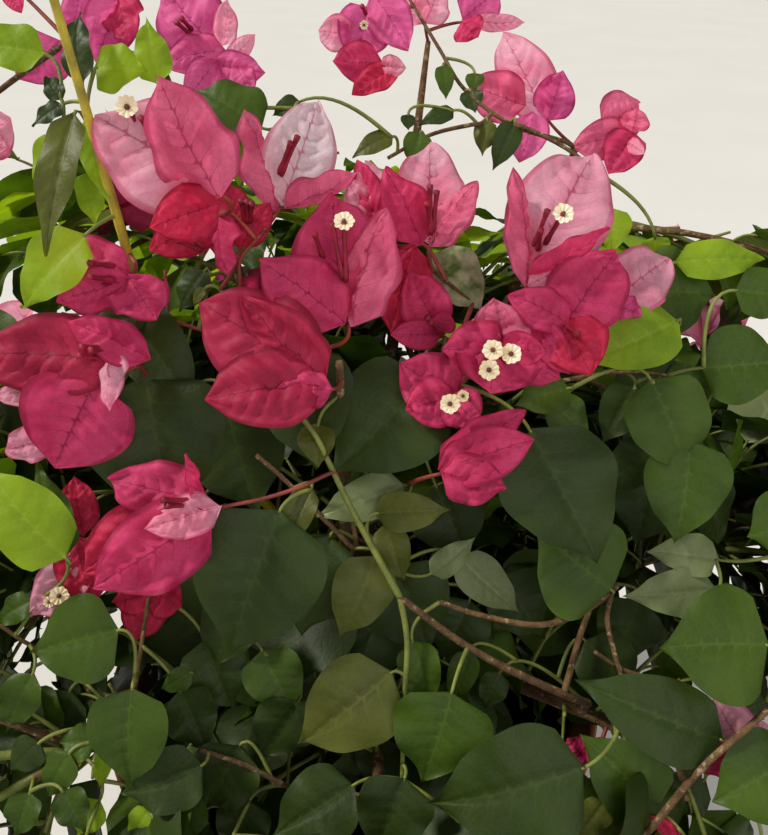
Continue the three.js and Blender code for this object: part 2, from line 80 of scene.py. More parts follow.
# The crown: a low dome of tips, and the masses round and on it
CROWN_CENTRE = Vector((0.015, -0.020, 0.300))
CROWN_RADII = Vector((0.262, 0.235, 0.165))
SKIRT = -0.42
OUTER_TIPS = 104
INNER_TIPS = 16
INNER_SHELL = 0.6
FILL_TIPS = 40
FILL_SHELL = 0.78
ROUGHNESS = 0.16
OWN_DOME_RADIUS = 0.078
TIP_BEYOND = 0.02
GOLDEN_ANGLE = math.pi * (3 - math.sqrt(5))
RING_NAMES = ["front", "front_right", "right", "back_right", "back_left", "left", "front_left"]
RING_RADII = (0.152, 0.135)
RING_HEIGHT = 0.298
UPPER_MASSES = [
    {"name": "top_front", "centre": (0, -0.042, 0.425), "level": 1, "entry": 0.45, "stem": 0.25},
    {"name": "top_back", "centre": (0.038, 0.062, 0.385), "level": 0.9, "entry": 0.45, "stem": 0.3,
     "own": 8},
    {"name": "spray_left", "centre": (-0.085, 0.112, 0.500), "level": 0.64, "entry": 0.72, "stem": 0.12},
    {"name": "spray_back", "centre": (0.038, 0.160, 0.508), "level": 0.74, "entry": 0.72, "stem": 0.12},
    {"name": "spray_right", "centre": (0.108, 0.108, 0.468), "level": 0.6, "entry": 0.72, "stem": 0.12},
    {"name": "tall_shoot", "centre": (-0.082, -0.024, 0.540), "level": 0.73, "stem": 0.78,
     "bough_tip": (-0.079, -0.008, 0.452), "stem_leaves": 9},
]
BLOOM_CHANCE = 0.34
BLOOM_LOWEST = 0.12

# Radius at the start and at the end of what grows by rule, and how many shoots a limb bears
STEM_RADII = (0.0028, 0.0014)
YOUNG_STEM_RADII = (0.0019, 0.0011)
TWIG_RADII = (0.0021, 0.0009)
BRANCH_RADII = (0.0012, 0.0007)
PETIOLE_RADIUS = 0.00055
BRANCH_SHARES = (0.42, 0.68)    # where a twig bears its two branches
BOUGH_SHOOTS = 11
STEM_SHOOTS = 8
YOUNG_SHARE = 0.6    # the young shoot's girth beside the other boughs
TWIG_CLEARANCE = 0.034    # from a placed bloom to the nearest twig that grows by rule
POT_CLEARANCE = 0.003
FLOOR_CLEARANCE = 0.012
LONG_JOIN = 0.045    # a twig that joins a placed leaf or bloom over more than this is brown

# Leaves that grow by rule: their length, the way from one to the next, and the share that stays bare
TWIG_LEAVES = (0.056, 0.015, 0.25)
BRANCH_LEAVES = (0.052, 0.016, 0.1)
SHOOT_LEAVES = (0.054, 0.013, 0.15)
UPRIGHT_LEAF = 0.056

# What grows by rule stays this far from the eye. It may come nearer low in the picture, and, down to the
# least, outside it.
NEAR_LIMIT = 0.335
NEAR_LEAST = 0.2
NEAR_SLOPE = 0.0022
LOW_DOWN, LOW_REACH, LOW_NEARER = 620, 120, 0.034

# Above this line of the picture, nothing but placed blooms shows. Each pair: across, down.
OPEN_ABOVE = [(-60, -80), (150, -80), (190, 60), (300, 110), (420, 165), (530, 200), (650, 225), (830, 240)]
OPEN_BESIDE = 60    # how far beside the picture that holds

SUN_WAY = Vector((-0.68, 0.05, 0.73)).normalized()
NET_SIZE = 0.0026    # from one fine vein of a leaf to the next
BRACT_STEP = 0.0016    # how much nearer each bract of a bloom stands than the one behind it
GROWN_STAR = 0.0075    # how wide the open flower of a grown bloom is
EDGE_LEAVES_BELOW, EDGE_LEAVES_BESIDE = 26, 14
FLOOR_REACH = 60.0
PIECE_TRIANGLES = 180_000    # the most that one joined piece may hold
CURL_POWER = 1.3    # how much more a blade curls towards its tip
CURL_STEPS = np.linspace(0, 1, 33)    # where that curl is summed up, as shares of the blade's length

UP = Vector((0, 0, 1))
RIGHT = Vector((1, 0, 0))
DOWN = Vector((0, -math.sin(LOOK_DOWN), -math.cos(LOOK_DOWN)))
AWAY = Vector((0, math.cos(LOOK_DOWN), -math.sin(LOOK_DOWN)))


def chance(key, salt):
    """A number from 0 to 1 that depends only on its two keys."""
    wave = math.sin(key * 12.9898 + salt * 78.233) * 43758.5453
    return wave - math.floor(wave)


def seen_at(across, down, depth):
    """The point at a depth behind a pixel of the picture."""
    u = (across - PICTURE_MIDDLE[0]) / PICTURE_SCALE
    v = (down - PICTURE_MIDDLE[1]) / PICTURE_SCALE
    return EYE + (RIGHT * u + DOWN * v + AWAY) * depth


def seen_from_eye(point):
    """Across, down (pixels) and depth of a point."""
    way = point - EYE
    depth = way.dot(AWAY)
    if depth < 1e-3:
        return -1e4, -1e4, depth
    return (
        PICTURE_MIDDLE[0] + PICTURE_SCALE * way.dot(RIGHT) / depth,
        PICTURE_MIDDLE[1] + PICTURE_SCALE * way.dot(DOWN) / depth,
        depth,
    )


class Path:
    """A curve through space, read by the share of its length."""

    def __init__(self, points, steps=32, bezier=True):
        points = [Vector(p) for p in points]
        self.points = [self._bezier(points, i / steps) for i in range(steps + 1)] if bezier else points
        gaps = [(b - a).length for a, b in zip(self.points, self.points[1:])]
        self.marks = np.concatenate([[0.0], np.cumsum(gaps)])
        self.length = float(self.marks[-1])

    @staticmethod
    def _bezier(points, t):
        while len(points) > 1:
            points = [a.lerp(b, t) for a, b in zip(points, points[1:])]
        return points[0]

    def at(self, t):
        mark = min(max(t, 0.0), 1.0) * self.length
        i = min(int(np.searchsorted(self.marks, mark, side="right")) - 1, len(self.points) - 2)
        i = max(i, 0)
        gap = self.marks[i + 1] - self.marks[i]
        return self.points[i].lerp(self.points[i + 1], (mark - self.marks[i]) / gap if gap else 0.0)

    def tangent(self, t):
        way = self.at(min(t + 0.02, 1)) - self.at(max(t - 0.02, 0))
        return way.normalized()

    def spaced(self, count):
        return [self.at(i / count) for i in range(count + 1)]


def smooth_path(points):
    """A path that rounds the corners of a short list of points."""
    points = [Vector(p) for p in points]
    rounded = [points[0]]
    ends = [points[0] * 2 - points[1]] + points + [points[-1] * 2 - points[-2]]
    for i in range(1, len(ends) - 2):
        a, b, c, d = ends[i - 1 : i + 3]
        for t in (k / 6 for k in range(1, 7)):
            rounded.append(
                0.5 * (2 * b + (c - a) * t + (2 * a - 5 * b + 4 * c - d) * t * t
                       + (3 * b - a - 3 * c + d) * t**3)
            )
    return Path(rounded, bezier=False)


class Pile:
    """Verts and faces of one joined piece, with a per-vertex tint and vein value."""

    def __init__(self):
        self.verts, self.quads, self.tris = [], [], []
        self.quad_slots, self.tri_slots = [], []
        self.tints, self.veins = [], []
        self.count = 0

    def add(self, verts, quads=None, tris=None, slot=0, tint=0.5, veins=None):
        verts = np.asarray(verts, dtype=np.float32).reshape(-1, 3)
        self.verts.append(verts)
        if quads is not None and len(quads):
            self.quads.append(np.asarray(quads, dtype=np.int32) + self.count)
            self.quad_slots.append(np.full(len(quads), slot, dtype=np.int32))
        if tris is not None and len(tris):
            self.tris.append(np.asarray(tris, dtype=np.int32) + self.count)
            self.tri_slots.append(np.full(len(tris), slot, dtype=np.int32))
        self.tints.append(np.full(len(verts), tint, dtype=np.float32))
        veins = np.zeros(len(verts)) if veins is None else veins
        self.veins.append(veins.astype(np.float32))
        self.count += len(verts)

    def build(self, name, materials):
        quads = np.concatenate(self.quads) if self.quads else np.zeros((0, 4), dtype=np.int32)
        tris = np.concatenate(self.tris) if self.tris else np.zeros((0, 3), dtype=np.int32)
        mesh = bpy.data.meshes.new(name)
        mesh.vertices.add(self.count)
        mesh.vertices.foreach_set("co", np.concatenate(self.verts).ravel())
        mesh.loops.add(quads.size + tris.size)
        mesh.loops.foreach_set("vertex_index", np.concatenate([quads.ravel(), tris.ravel()]))
        mesh.polygons.add(len(quads) + len(tris))
        starts = np.concatenate([np.arange(len(quads)) * 4, quads.size + np.arange(len(tris)) * 3])
        mesh.polygons.foreach_set("loop_start", starts.astype(np.int32))
        slots = np.concatenate(self.quad_slots + self.tri_slots)
        mesh.polygons.foreach_set("material_index", slots)
        mesh.polygons.foreach_set("use_smooth", np.ones(len(slots), dtype=bool))
        for attribute, values in (("tint", self.tints), ("vein", self.veins)):
            layer = mesh.attributes.new(attribute, "FLOAT", "POINT")
            layer.data.foreach_set("value", np.concatenate(values))
        mesh.update(calc_edges=True)
        mesh.validate()
        piece = bpy.data.objects.new(name, mesh)
        bpy.context.scene.collection.objects.link(piece)
        for material in materials:
            mesh.materials.append(material)
        return piece


def grid_quads(rows, cols):
    """Quads of a grid of (rows + 1) by (cols + 1) points."""
    r, c = np.meshgrid(np.arange(rows), np.arange(cols), indexing="ij")
    a = (r * (cols + 1) + c).ravel()
    return np.stack([a, a + 1, a + cols + 2, a + cols + 1], axis=1)


def ring_faces(sides, rings, first, start, end=None, flipped=False):
    """Quads between rings of points, numbered from first on, and the triangles that close them.

    The triangles run from the first ring to the point start, and from the last ring to the point end.
    """
    quads, tris = [], []
    last = first + (rings - 1) * sides
    for k in range(sides):
        n = (k + 1) % sides
        tris.append((start, first + n, first + k))
        if end is not None:
            tris.append((end, last + k, last + n))
        for ring in range(first, last, sides):
            quads.append((ring + k, ring + n, ring + n + sides, ring + k + sides))
    if flipped:
        quads, tris = [[face[:1] + face[:0:-1] for face in faces] for faces in (quads, tris)]
    return quads, tris


def tube(pile, path, radius_at, sides=6, steps=10, slot=0, tint=0.5):
    """A closed tube along a path. radius_at(t, angles) gives its radii."""
    points = path.spaced(steps)
    angles = np.arange(sides) * 2 * math.pi / sides
    along = path.tangent(0)
    across = along.cross(UP if abs(along.z) < 0.9 else RIGHT).normalized()
    rings = []
    for i, point in enumerate(points):
        along = path.tangent(i / steps)
        across = (across - along * across.dot(along)).normalized()
        other = along.cross(across)
        radii = np.broadcast_to(radius_at(i / steps, angles), (sides,))
        ring = np.array(point) + np.outer(radii * np.cos(angles), np.array(across))
        rings.append(ring + np.outer(radii * np.sin(angles), np.array(other)))
    verts = np.concatenate([*rings, [np.array(points[0])], [np.array(points[-1])]])
    quads, tris = ring_faces(sides, steps + 1, 0, len(verts) - 2, len(verts) - 1)
    pile.add(verts, quads, tris, slot, tint)


def taper(start, end):
    """A radius that runs evenly from start to end."""
    return lambda t, angles: start + (end - start) * t


def outline_leaf(a):
    """Half-width of a leaf along its length, as a share of its widest: ovate, with a drawn-out tip."""
    a = np.clip(a, 0.0, 1.0)
    shape = a**0.5 * (1 - a)
    return shape / 0.3849 * (1 - 0.42 * np.clip((a - 0.72) / 0.2, 0, 1))


def outline_bract(a):
    """Half-width of a bract: broad and rounded, with a short point."""
    a = np.clip(a, 0.0, 1.0)
    shape = a**0.55 * (1 - a) ** 0.78
    return shape / 0.4043 * (1 - 0.3 * np.clip((a - 0.84) / 0.14, 0, 1))


class Blade:
    """A leaf or bract as a curved grid whose rows follow its side veins, so that each vein is a crease."""

    def __init__(self, rows, cols, outline, shear, vein_step, rim=0.0):
        self.rows, self.cols = rows, cols
        t = np.linspace(0, 1, rows + 1)
        s = np.linspace(-1, 1, cols + 1)
        self.t, self.s = np.meshgrid(t, s, indexing="ij")
        self.a = self.t + shear * np.abs(self.s) ** 1.2 * np.sqrt(self.t) * (1 - self.t)
        self.half = outline(self.a)
        row = np.arange(rows + 1)
        vein_row = (row % vein_step == 1).astype(float)
        vein_row[0] = vein_row[-1] = 0
        midrib = np.clip(1 - np.abs(self.s) * cols / 2, 0, 1)
        side = 0.88 * np.repeat(vein_row[:, None], cols + 1, axis=1) * (1 - np.abs(self.s) ** 4)
        margin = rim * np.clip((np.abs(self.s) - 0.999 + 4 / cols) * cols / 4, 0, 1) ** 0.2
        self.vein = np.maximum(np.maximum(side, midrib), margin)
        between = 0.5 - 0.5 * np.cos(2 * math.pi * (row - 1) / vein_step)
        self.swell = np.repeat(between[:, None], cols + 1, axis=1) * (1 - np.abs(self.s) ** 2)
        self.swell *= (1 - midrib) * np.sin(math.pi * np.clip(self.t, 0, 1)) ** 0.5
        self.midrib = midrib
        self.quads = grid_quads(rows, cols)

    def points(self, root, along, normal, length, width, curl=0.5, fold=0.25, cup=0.0, wave=0.0, twist=0.0,
               bend=0.0, phase=0.0, quilt=0.008, groove=0.02, crumple=0.0):
        """World points. curl bends it along its length, fold lifts its sides, wave ruffles its margin."""
        along = along.normalized()
        across = normal.cross(along).normalized()
        up = along.cross(across)
        half = 0.5 * width * self.half
        y = self.s * half
        x_flat = self.a * length
        z = fold * np.abs(y) * (1 - 0.35 * self.a)
        z = z - cup * y * y / (0.5 * width)
        ripple = np.sin(2 * math.pi * (2.3 * self.a + phase) + np.sign(self.s) * 1.3)
        z = z + wave * np.abs(self.s) ** 2.5 * ripple
        breadth = np.sqrt(self.half.clip(0, 1))
        z = z + quilt * length * self.swell - groove * length * 0.5 * self.midrib * breadth
        broad = np.sin(8 * self.a + 3.2 * self.s + 6.3 * phase)
        broad = broad * np.cos(5.5 * self.a - 4.6 * self.s + 9 * phase)
        fine = np.sin(19 * self.a - 11 * self.s + 8 * phase) * np.cos(13 * self.s + 7 * self.a)
        z = z + crumple * (broad + 0.4 * fine) * breadth
        turn = twist * self.a
        y, z = y * np.cos(turn) - z * np.sin(turn), y * np.sin(turn) + z * np.cos(turn)
        angle = curl * self.a**CURL_POWER
        bends = curl * CURL_STEPS**CURL_POWER
        forth, fall = [np.cumsum(part) / len(bends) for part in (np.cos(bends), np.sin(bends))]
        x = np.interp(self.a, CURL_STEPS, forth - forth[0]) * length + z * np.sin(angle)
        z = -np.interp(self.a, CURL_STEPS, fall - fall[0]) * length + z * np.cos(angle)
        y = y + bend * x_flat * self.a
        return (
            np.array(root)[None, None, :]
            + x[..., None] * np.array(along)
            + y[..., None] * np.array(across)
            + z[..., None] * np.array(up)
        )

    def add(self, pile, slot, tint, *place, **shape):
        verts = self.points(*place, **shape)
        pile.add(verts.reshape(-1, 3), self.quads, None, slot, tint, self.vein.ravel())


FINE_LEAF = Blade(28, 14, outline_leaf, shear=0.42, vein_step=4)
PLAIN_LEAF = Blade(14, 8, outline_leaf, shear=0.42, vein_step=3)
FINE_BRACT = Blade(28, 18, outline_bract, shear=0.62, vein_step=4, rim=1.0)
PLAIN_BRACT = Blade(14, 10, outline_bract, shear=0.55, vein_step=3, rim=0.95)


def linear(rgb):
    """A colour given as 0 to 255 per channel on a screen, as the shader wants it."""
    def one(value):
        value /= 255
        return value / 12.92 if value <= 0.04045 else ((value + 0.055) / 1.055) ** 2.4
    return (*[one(v) for v in rgb], 1.0)


class Look:
    """A material, put together step by step. Its colours are given as 0 to 255 per channel."""

    def __init__(self, name, roughness, specular):
        self.material = bpy.data.materials.new(name)
        self.material.use_nodes = True
        self.nodes, self.links = self.material.node_tree.nodes, self.material.node_tree.links
        self.shader = self.nodes["Principled BSDF"]
        self.shader.inputs["Roughness"].default_value = roughness
        self.shader.inputs["Specular IOR Level"].default_value = specular

    def spread(self, value, low, high, start=0.0, end=1.0):
        """A value held from low to high, and stretched to run from start to end."""
        node = self.nodes.new("ShaderNodeMapRange")
        for name, number in (("From Min", low), ("From Max", high), ("To Min", start), ("To Max", end)):
            node.inputs[name].default_value = number
        self.links.new(value, node.inputs["Value"])
        return node.outputs["Result"]

    def texture(self, kind, scale):
        """A texture in the object's own space."""
        coords = self.nodes.new("ShaderNodeTexCoord")
        node = self.nodes.new(kind)
        node.inputs["Scale"].default_value = scale
        self.links.new(coords.outputs["Object"], node.inputs["Vector"])
        return node

    def noise(self, scale, detail=3.0, low=0.35, high=0.65):
        node = self.texture("ShaderNodeTexNoise", scale)
        node.inputs["Detail"].default_value = detail
        return self.spread(node.outputs["Fac"], low, high)

    def attribute(self, name, low=0.0, high=1.0, share=1.0):
        """A value that the mesh carries, and how far it counts."""
        node = self.nodes.new("ShaderNodeAttribute")
        node.attribute_name = name
        return self.spread(node.outputs["Fac"], low, high, 0.0, share)

    def layered(self, colour, *layers):
        """A colour with layers over it, each given by how far it covers and by its own colour."""
        below = None
        for cover, layer in layers:
            mix = self.nodes.new("ShaderNodeMix")
            mix.data_type = "RGBA"
            self.links.new(cover, mix.inputs[0])
            if below:
                self.links.new(below, mix.inputs[6])
            else:
                mix.inputs[6].default_value = linear(colour)
            mix.inputs[7].default_value = linear(layer)
            below = mix.outputs[2]
        return below

    def paint(self, colour, *layers):
        self.links.new(self.layered(colour, *layers), self.shader.inputs["Base Color"])

    def bump(self, height, strength, distance):
        node = self.nodes.new("ShaderNodeBump")
        node.inputs["Strength"].default_value = strength
        node.inputs["Distance"].default_value = distance
        self.links.new(height, node.inputs["Height"])
        self.links.new(node.outputs["Normal"], self.shader.inputs["Normal"])

    def let_through(self, glow, share):
        """Lets a share of the light through, in the colour of the glow."""
        translucent = self.nodes.new("ShaderNodeBsdfTranslucent")
        self.links.new(glow, translucent.inputs["Color"])
        mix = self.nodes.new("ShaderNodeMixShader")
        mix.inputs[0].default_value = share
        self.links.new(self.shader.outputs[0], mix.inputs[1])
        self.links.new(translucent.outputs[0], mix.inputs[2])
        self.links.new(mix.outputs[0], self.nodes["Material Output"].inputs["Surface"])


def thin_material(name, colour, darker, vein, through, share, roughness, patch_scale, vein_share, net_share):
    """A leaf or bract: a base colour that varies, side veins, a net of fine veins, and light through it."""
    look = Look(name, roughness, 0.25)
    patches = look.noise(patch_scale)
    net = look.texture("ShaderNodeTexVoronoi", 1 / NET_SIZE)
    net.feature = "DISTANCE_TO_EDGE"
    lines = look.spread(net.outputs["Distance"], 0.0, 0.09, net_share, 0.0)
    veins = look.attribute("vein", 0.72, 1.0, vein_share)
    tint = look.attribute("tint", 0.0, 1.5)
    look.paint(colour, (patches, darker), (tint, colour), (lines, vein), (veins, vein))
    look.bump(net.outputs["Distance"], 0.3, 0.0005)
    look.let_through(look.layered(through, (patches, darker), (lines, vein), (veins, vein)), share)
    return look.material


def bark_material(name, colour, darker, pale, scale):
    look = Look(name, 0.85, 0.25)
    lichen = look.noise(scale * 1.7, 3.0, 0.58, 0.68)
    look.paint(colour, (look.noise(scale, 4.0), darker), (look.attribute("vein"), darker), (lichen, pale))
    look.bump(look.noise(scale * 6, 4.0, 0.3, 0.7), 0.6, 0.0008)
    return look.material


def stem_material(name, colour, darker, roughness=0.5):
    look = Look(name, roughness, 0.4)
    look.paint(colour, (look.noise(120.0), darker))
    look.bump(look.noise(900.0, 2.0), 0.3, 0.0004)
    return look.material


# The tones of leaves: colour, darker patches, veins, colour of the light through, its share, roughness and
# the scale of the patches. The tones of bracts leave out the last two.
LEAF_TONES = {
    # dark stands for leaves in shade and inside the crown: painted shade.
    "dark": ((44, 60, 14), (30, 45, 9), (72, 88, 34), (80, 122, 10), 0.15, 0.5, 45.0),
    "mid": ((62, 84, 16), (46, 67, 12), (92, 114, 40), (110, 152, 10), 0.22, 0.5, 45.0),
    # lime stands for sunlit leaves: painted sunlight, partly also the yellow-green of young leaves.
    "lime": ((148, 178, 34), (116, 150, 26), (180, 200, 74), (184, 218, 14), 0.42, 0.52, 45.0),
    "olive": ((86, 92, 30), (66, 72, 24), (116, 116, 58), (130, 134, 20), 0.2, 0.48, 45.0),
    "marbled": ((64, 92, 34), (226, 226, 190), (120, 140, 84), (120, 150, 50), 0.2, 0.42, 150.0),
    "pale": ((118, 130, 86), (94, 106, 62), (150, 158, 118), (140, 160, 60), 0.2, 0.4, 45.0),
}
TONE_NAMES = list(LEAF_TONES)
LEAF_VEINS = (0.36, 0.12)    # how far the side veins and the fine net show

BRACT_TONES = {
    "pink": ((230, 76, 128), (196, 40, 92), (140, 14, 56), (250, 70, 122), 0.44),
    # light: a paler pink, partly painted sunlight
    "light": ((255, 188, 212), (254, 138, 176), (196, 44, 100), (255, 190, 214), 0.55),
    "red": ((224, 56, 96), (184, 28, 66), (132, 10, 42), (255, 58, 96), 0.46),
    # pale: painted sunlight
    "pale": ((255, 238, 246), (255, 202, 224), (206, 54, 112), (255, 238, 246), 0.55),
    "magenta": ((238, 112, 172), (208, 68, 134), (150, 26, 90), (255, 112, 180), 0.46),
    "rose": ((248, 128, 166), (222, 82, 128), (158, 26, 78), (255, 118, 162), 0.5),
    # deep: painted shade, a darker crimson for bracts in shade
    "deep": ((196, 50, 88), (160, 28, 62), (118, 10, 42), (216, 44, 80), 0.42),
}
BRACT_NAMES = list(BRACT_TONES)
BRACT_SURFACE = (0.6, 70.0)    # roughness, and the scale of the patches
BRACT_VEINS = (0.72, 0.17)

LEAF_MATERIALS = [
    thin_material("leaf_" + name, *tone, *LEAF_VEINS) for name, tone in LEAF_TONES.items()
]
BRACT_MATERIALS = [
    thin_material("bract_" + name, *tone, *BRACT_SURFACE, *BRACT_VEINS) for name, tone in BRACT_TONES.items()
]
TUBE_MATERIAL = stem_material("flower_tube", (150, 18, 48), (104, 10, 32), 0.6)
STAR_MATERIAL = stem_material("flower_star", (244, 228, 200), (226, 204, 158), 0.6)
THROAT_MATERIAL = stem_material("flower_throat", (110, 62, 34), (72, 36, 22), 0.6)
GREEN_STEM = stem_material("stem_green", (124, 132, 56), (92, 100, 42))
BROWN_STEM = bark_material("stem_brown", (114, 88, 56), (80, 58, 38), (150, 132, 102), 220.0)
RED_STEM = stem_material("stem_red", (142, 60, 44), (104, 40, 34))
YOUNG_STEM = stem_material("stem_young", (192, 172, 50), (138, 126, 42))
BARK = bark_material("bark", (136, 110, 82), (84, 64, 46), (176, 166, 146), 110.0)


def trunk_line():
    foot = Vector((*TRUNK_FOOT, SOIL_TOP + SEAT_GAP))
    top = foot + Vector((*TRUNK_LEAN, TRUNK_HEIGHT))
    bend = top + Vector((0.007, 0.005, -0.4 * TRUNK_HEIGHT))
    return Path([foot, foot + UP * 0.4 * TRUNK_HEIGHT, bend, top])


TRUNK = trunk_line()


def bough_line(mass):
    """The arching line of a bough, from its place on the trunk towards its mass."""
    start = TRUNK.at(mass["level"])
    end = Vector(mass["bough_tip"]) if "bough_tip" in mass else start.lerp(mass["centre"], mass["entry"])
    reach = end - start
    length = reach.length
    first = start + Vector((reach.x, reach.y, 0)) * 0.45 + UP * 0.3 * length
    heading = ((mass["centre"] - end).normalized() + UP * 0.15).normalized()
    return Path([start, first, end - heading * 0.34 * length, end])


def make_masses():
    """The masses of the crown, each with its bough and with the stem that runs on through it."""
    masses = []
    for i, name in enumerate(RING_NAMES):
        bearing = math.radians(-90 + i * 360 / len(RING_NAMES))
        centre = Vector((
            CROWN_CENTRE.x + RING_RADII[0] * math.cos(bearing),
            CROWN_CENTRE.y + RING_RADII[1] * math.sin(bearing),
            RING_HEIGHT,
        ))
        masses.append({"name": name, "centre": centre, "level": RING_LEVELS[i], "entry": 0.5, "stem": 0.22})
    for mass in UPPER_MASSES:
        masses.append({**mass, "centre": Vector(mass["centre"])})
    for mass in masses:
        mass["bough"] = bough_line(mass)
        tip = mass["bough"].at(1)
        beyond = (mass["centre"] - tip) * mass["stem"]
        mass["stem_line"] = Path([
            tip + mass["bough"].tangent(1) * SEAT_GAP,
            mass["centre"] - beyond + UP * 0.06 * beyond.length,
            mass["centre"] + beyond,
        ])
    return masses


MASSES = make_masses()
MASS_NODES = ["foliage_" + mass["name"] for mass in MASSES]
BOUGH_NODES = ["bough_" + mass["name"] for mass in MASSES]


def nearest_mass(point):
    return min(MASSES, key=lambda mass: (mass["centre"] - point).length_squared)


def shell_tips(count, shell, salt):
    """Tips spread evenly over the crown by the golden angle, roughened."""
    tips = []
    for i in range(count):
        height = 1 - ((i + 0.5) / count) * (1 - SKIRT)
        flat = math.sqrt(1 - height * height)
        angle = i * GOLDEN_ANGLE + salt
        scale = shell * (1 + ROUGHNESS * (chance(i, salt) - 0.6))
        way = Vector((flat * math.cos(angle), flat * math.sin(angle), height))
        at = Vector([w * r for w, r in zip(way, CROWN_RADII)]) * scale + CROWN_CENTRE
        tips.append({"key": i + 1000 * salt, "at": at, "height": height, "outer": shell > 0.9})
    return tips


def own_tips(mass):
    """Tips on a small dome of the mass's own."""
    count = mass.get("own", 0)
    tips = []
    for i in range(count):
        height = 1 - 1.3 * (i + 0.5) / count
        flat = math.sqrt(1 - height * height)
        way = Vector((flat * math.cos(i * GOLDEN_ANGLE), flat * math.sin(i * GOLDEN_ANGLE), 0.7 * height))
        at = mass["centre"] + way * OWN_DOME_RADIUS
        tips.append({"key": 3000 + i, "at": at, "height": height, "outer": True})
    return tips


def twig_line(mass, tip, axis=None):
    """A twig from its mass's stem to a tip, arching, or coming in along an axis."""
    line = mass["stem_line"]
    share = min((i / 20 for i in range(21)), key=lambda t: (line.at(t) - tip).length)
    start = line.at(min(0.92, max(0.16, share - 0.22)))
    length = (tip - start).length
    bend = tip - axis * 0.35 * length if axis else start.lerp(tip, 0.5) + UP * 0.16 * length
    return Path([start, bend, tip], 16)


def outside_picture(across, down):
    """How far outside the picture's edge a pixel is; 0 inside."""
    middle_x, middle_y = PICTURE_MIDDLE
    return max(0.0, abs(across - middle_x) - middle_x, abs(down - middle_y) - middle_y)


def hides_view(point):
    """True where a grown leaf would stand before the placed ones, or in the open part of the picture."""
    across, down, depth = seen_from_eye(point)
    if depth < NEAR_LEAST:
        return True
    outside = outside_picture(across, down)
    low = min(1.0, max(0.0, (down - LOW_DOWN) / LOW_REACH))
    limit = NEAR_LIMIT - LOW_NEARER * low - NEAR_SLOPE * outside
    line = np.interp(across, [p[0] for p in OPEN_ABOVE], [p[1] for p in OPEN_ABOVE])
    return depth < max(NEAR_LEAST, limit) or (outside < OPEN_BESIDE and down < line)


def clear_of_pot(point):
    """True above the rim, above the soil within it, and beside it."""
    radius = math.hypot(point.x, point.y)
    if point.z > POT_HEIGHT + POT_CLEARANCE:
        return True
    if radius < RIM_RADIUS - 2 * WALL:
        return point.z > SOIL_TOP + 0.004
    return radius > RIM_RADIUS + POT_CLEARANCE


class Kind:
    """All that is of one kind, joined into pieces of a bounded size."""

    def __init__(self, name, slot_name, materials, nodes):
        self.name, self.slot_name, self.materials, self.nodes = name, slot_name, materials, nodes
        self.piles = [Pile()]
        self.size = 0

    def add(self, verts, quads=None, tris=None, slot=0, tint=0.5, veins=None):
        added = (0 if quads is None else 2 * len(quads)) + (0 if tris is None else len(tris))
        if self.size + added > PIECE_TRIANGLES:
            self.piles.append(Pile())
            self.size = 0
        self.size += added
        self.piles[-1].add(verts, quads, tris, slot, tint, veins)

    def build(self):
        for i, pile in enumerate(self.piles):
            piece = pile.build(f"{self.name}_{i + 1}", self.materials)
            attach(piece, "root")
            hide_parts(*self.nodes)


leaves = Kind("leaves", "leaf", LEAF_MATERIALS, MASS_NODES)
bracts = Kind("bracts", "bract", BRACT_MATERIALS, MASS_NODES)
flowers = Kind("flowers", "flower", [TUBE_MATERIAL, STAR_MATERIAL, THROAT_MATERIAL], MASS_NODES)
twigs = Kind("twigs", "bark", [GREEN_STEM, BROWN_STEM, RED_STEM, YOUNG_STEM], MASS_NODES)
limbs = Kind("limbs", "bark", [BARK, YOUNG_STEM], ["trunk", *BOUGH_NODES])
GREEN, BROWN, RED, YOUNG = 0, 1, 2, 3
TUBE, STAR, THROAT = 0, 1, 2


def leaf_between(kind, tones, blade, root, tip, normal, width, tone, tint, curl=0.5, **shape):
    """A curled leaf or bract whose root and tip are where they are asked to be."""
    chord = tip - root
    normal = (normal - chord * (normal.dot(chord) / chord.length_squared)).normalized()
    bends = curl * CURL_STEPS**CURL_POWER
    reach = Vector((float(np.mean(np.cos(bends))), float(np.mean(np.sin(bends)))))
    lift = math.atan2(reach.y, reach.x)
    way = chord.normalized()
    along = way * math.cos(lift) + normal * math.sin(lift)
    face = normal * math.cos(lift) - way * math.sin(lift)
    length = chord.length / reach.length
    blade.add(kind, tones.index(tone), tint, root, along, face, length, width, curl=curl, **shape)


def petiole(start, root, along):
    """The slender stalk of a grown leaf, from its twig to its base."""
    reach = (root - start).length
    line = Path([start, root - along * 0.45 * reach, root + along * 0.0015], 8)
    tube(twigs, line, taper(PETIOLE_RADIUS * 1.35, PETIOLE_RADIUS), 5, 4, GREEN)


def grown_tone(point, key):
    """The tone of a grown leaf: painted sunlight where the sun reaches it, painted shade inside the crown.
    """
    way = Vector([(p - c) / r for p, c, r in zip(point, CROWN_CENTRE, CROWN_RADII)])
    depth_inside = way.length
    sunny = way.dot(SUN_WAY)
    pick = chance(key, 50)
    # Inside the crown, mostly dark: painted shade.
    if depth_inside < 0.72:
        return "dark" if pick < 0.72 else "mid"
    if pick < 0.06:
        return "olive"
    # Lime where the leaf faces the sun is painted sunlight; dark on the side away from it is painted shade.
    if sunny > 0.35 and pick > 0.5:
        return "lime"
    if sunny < 0.05 and pick < 0.5:
        return "dark"
    return "mid" if pick < 0.88 else "pale"


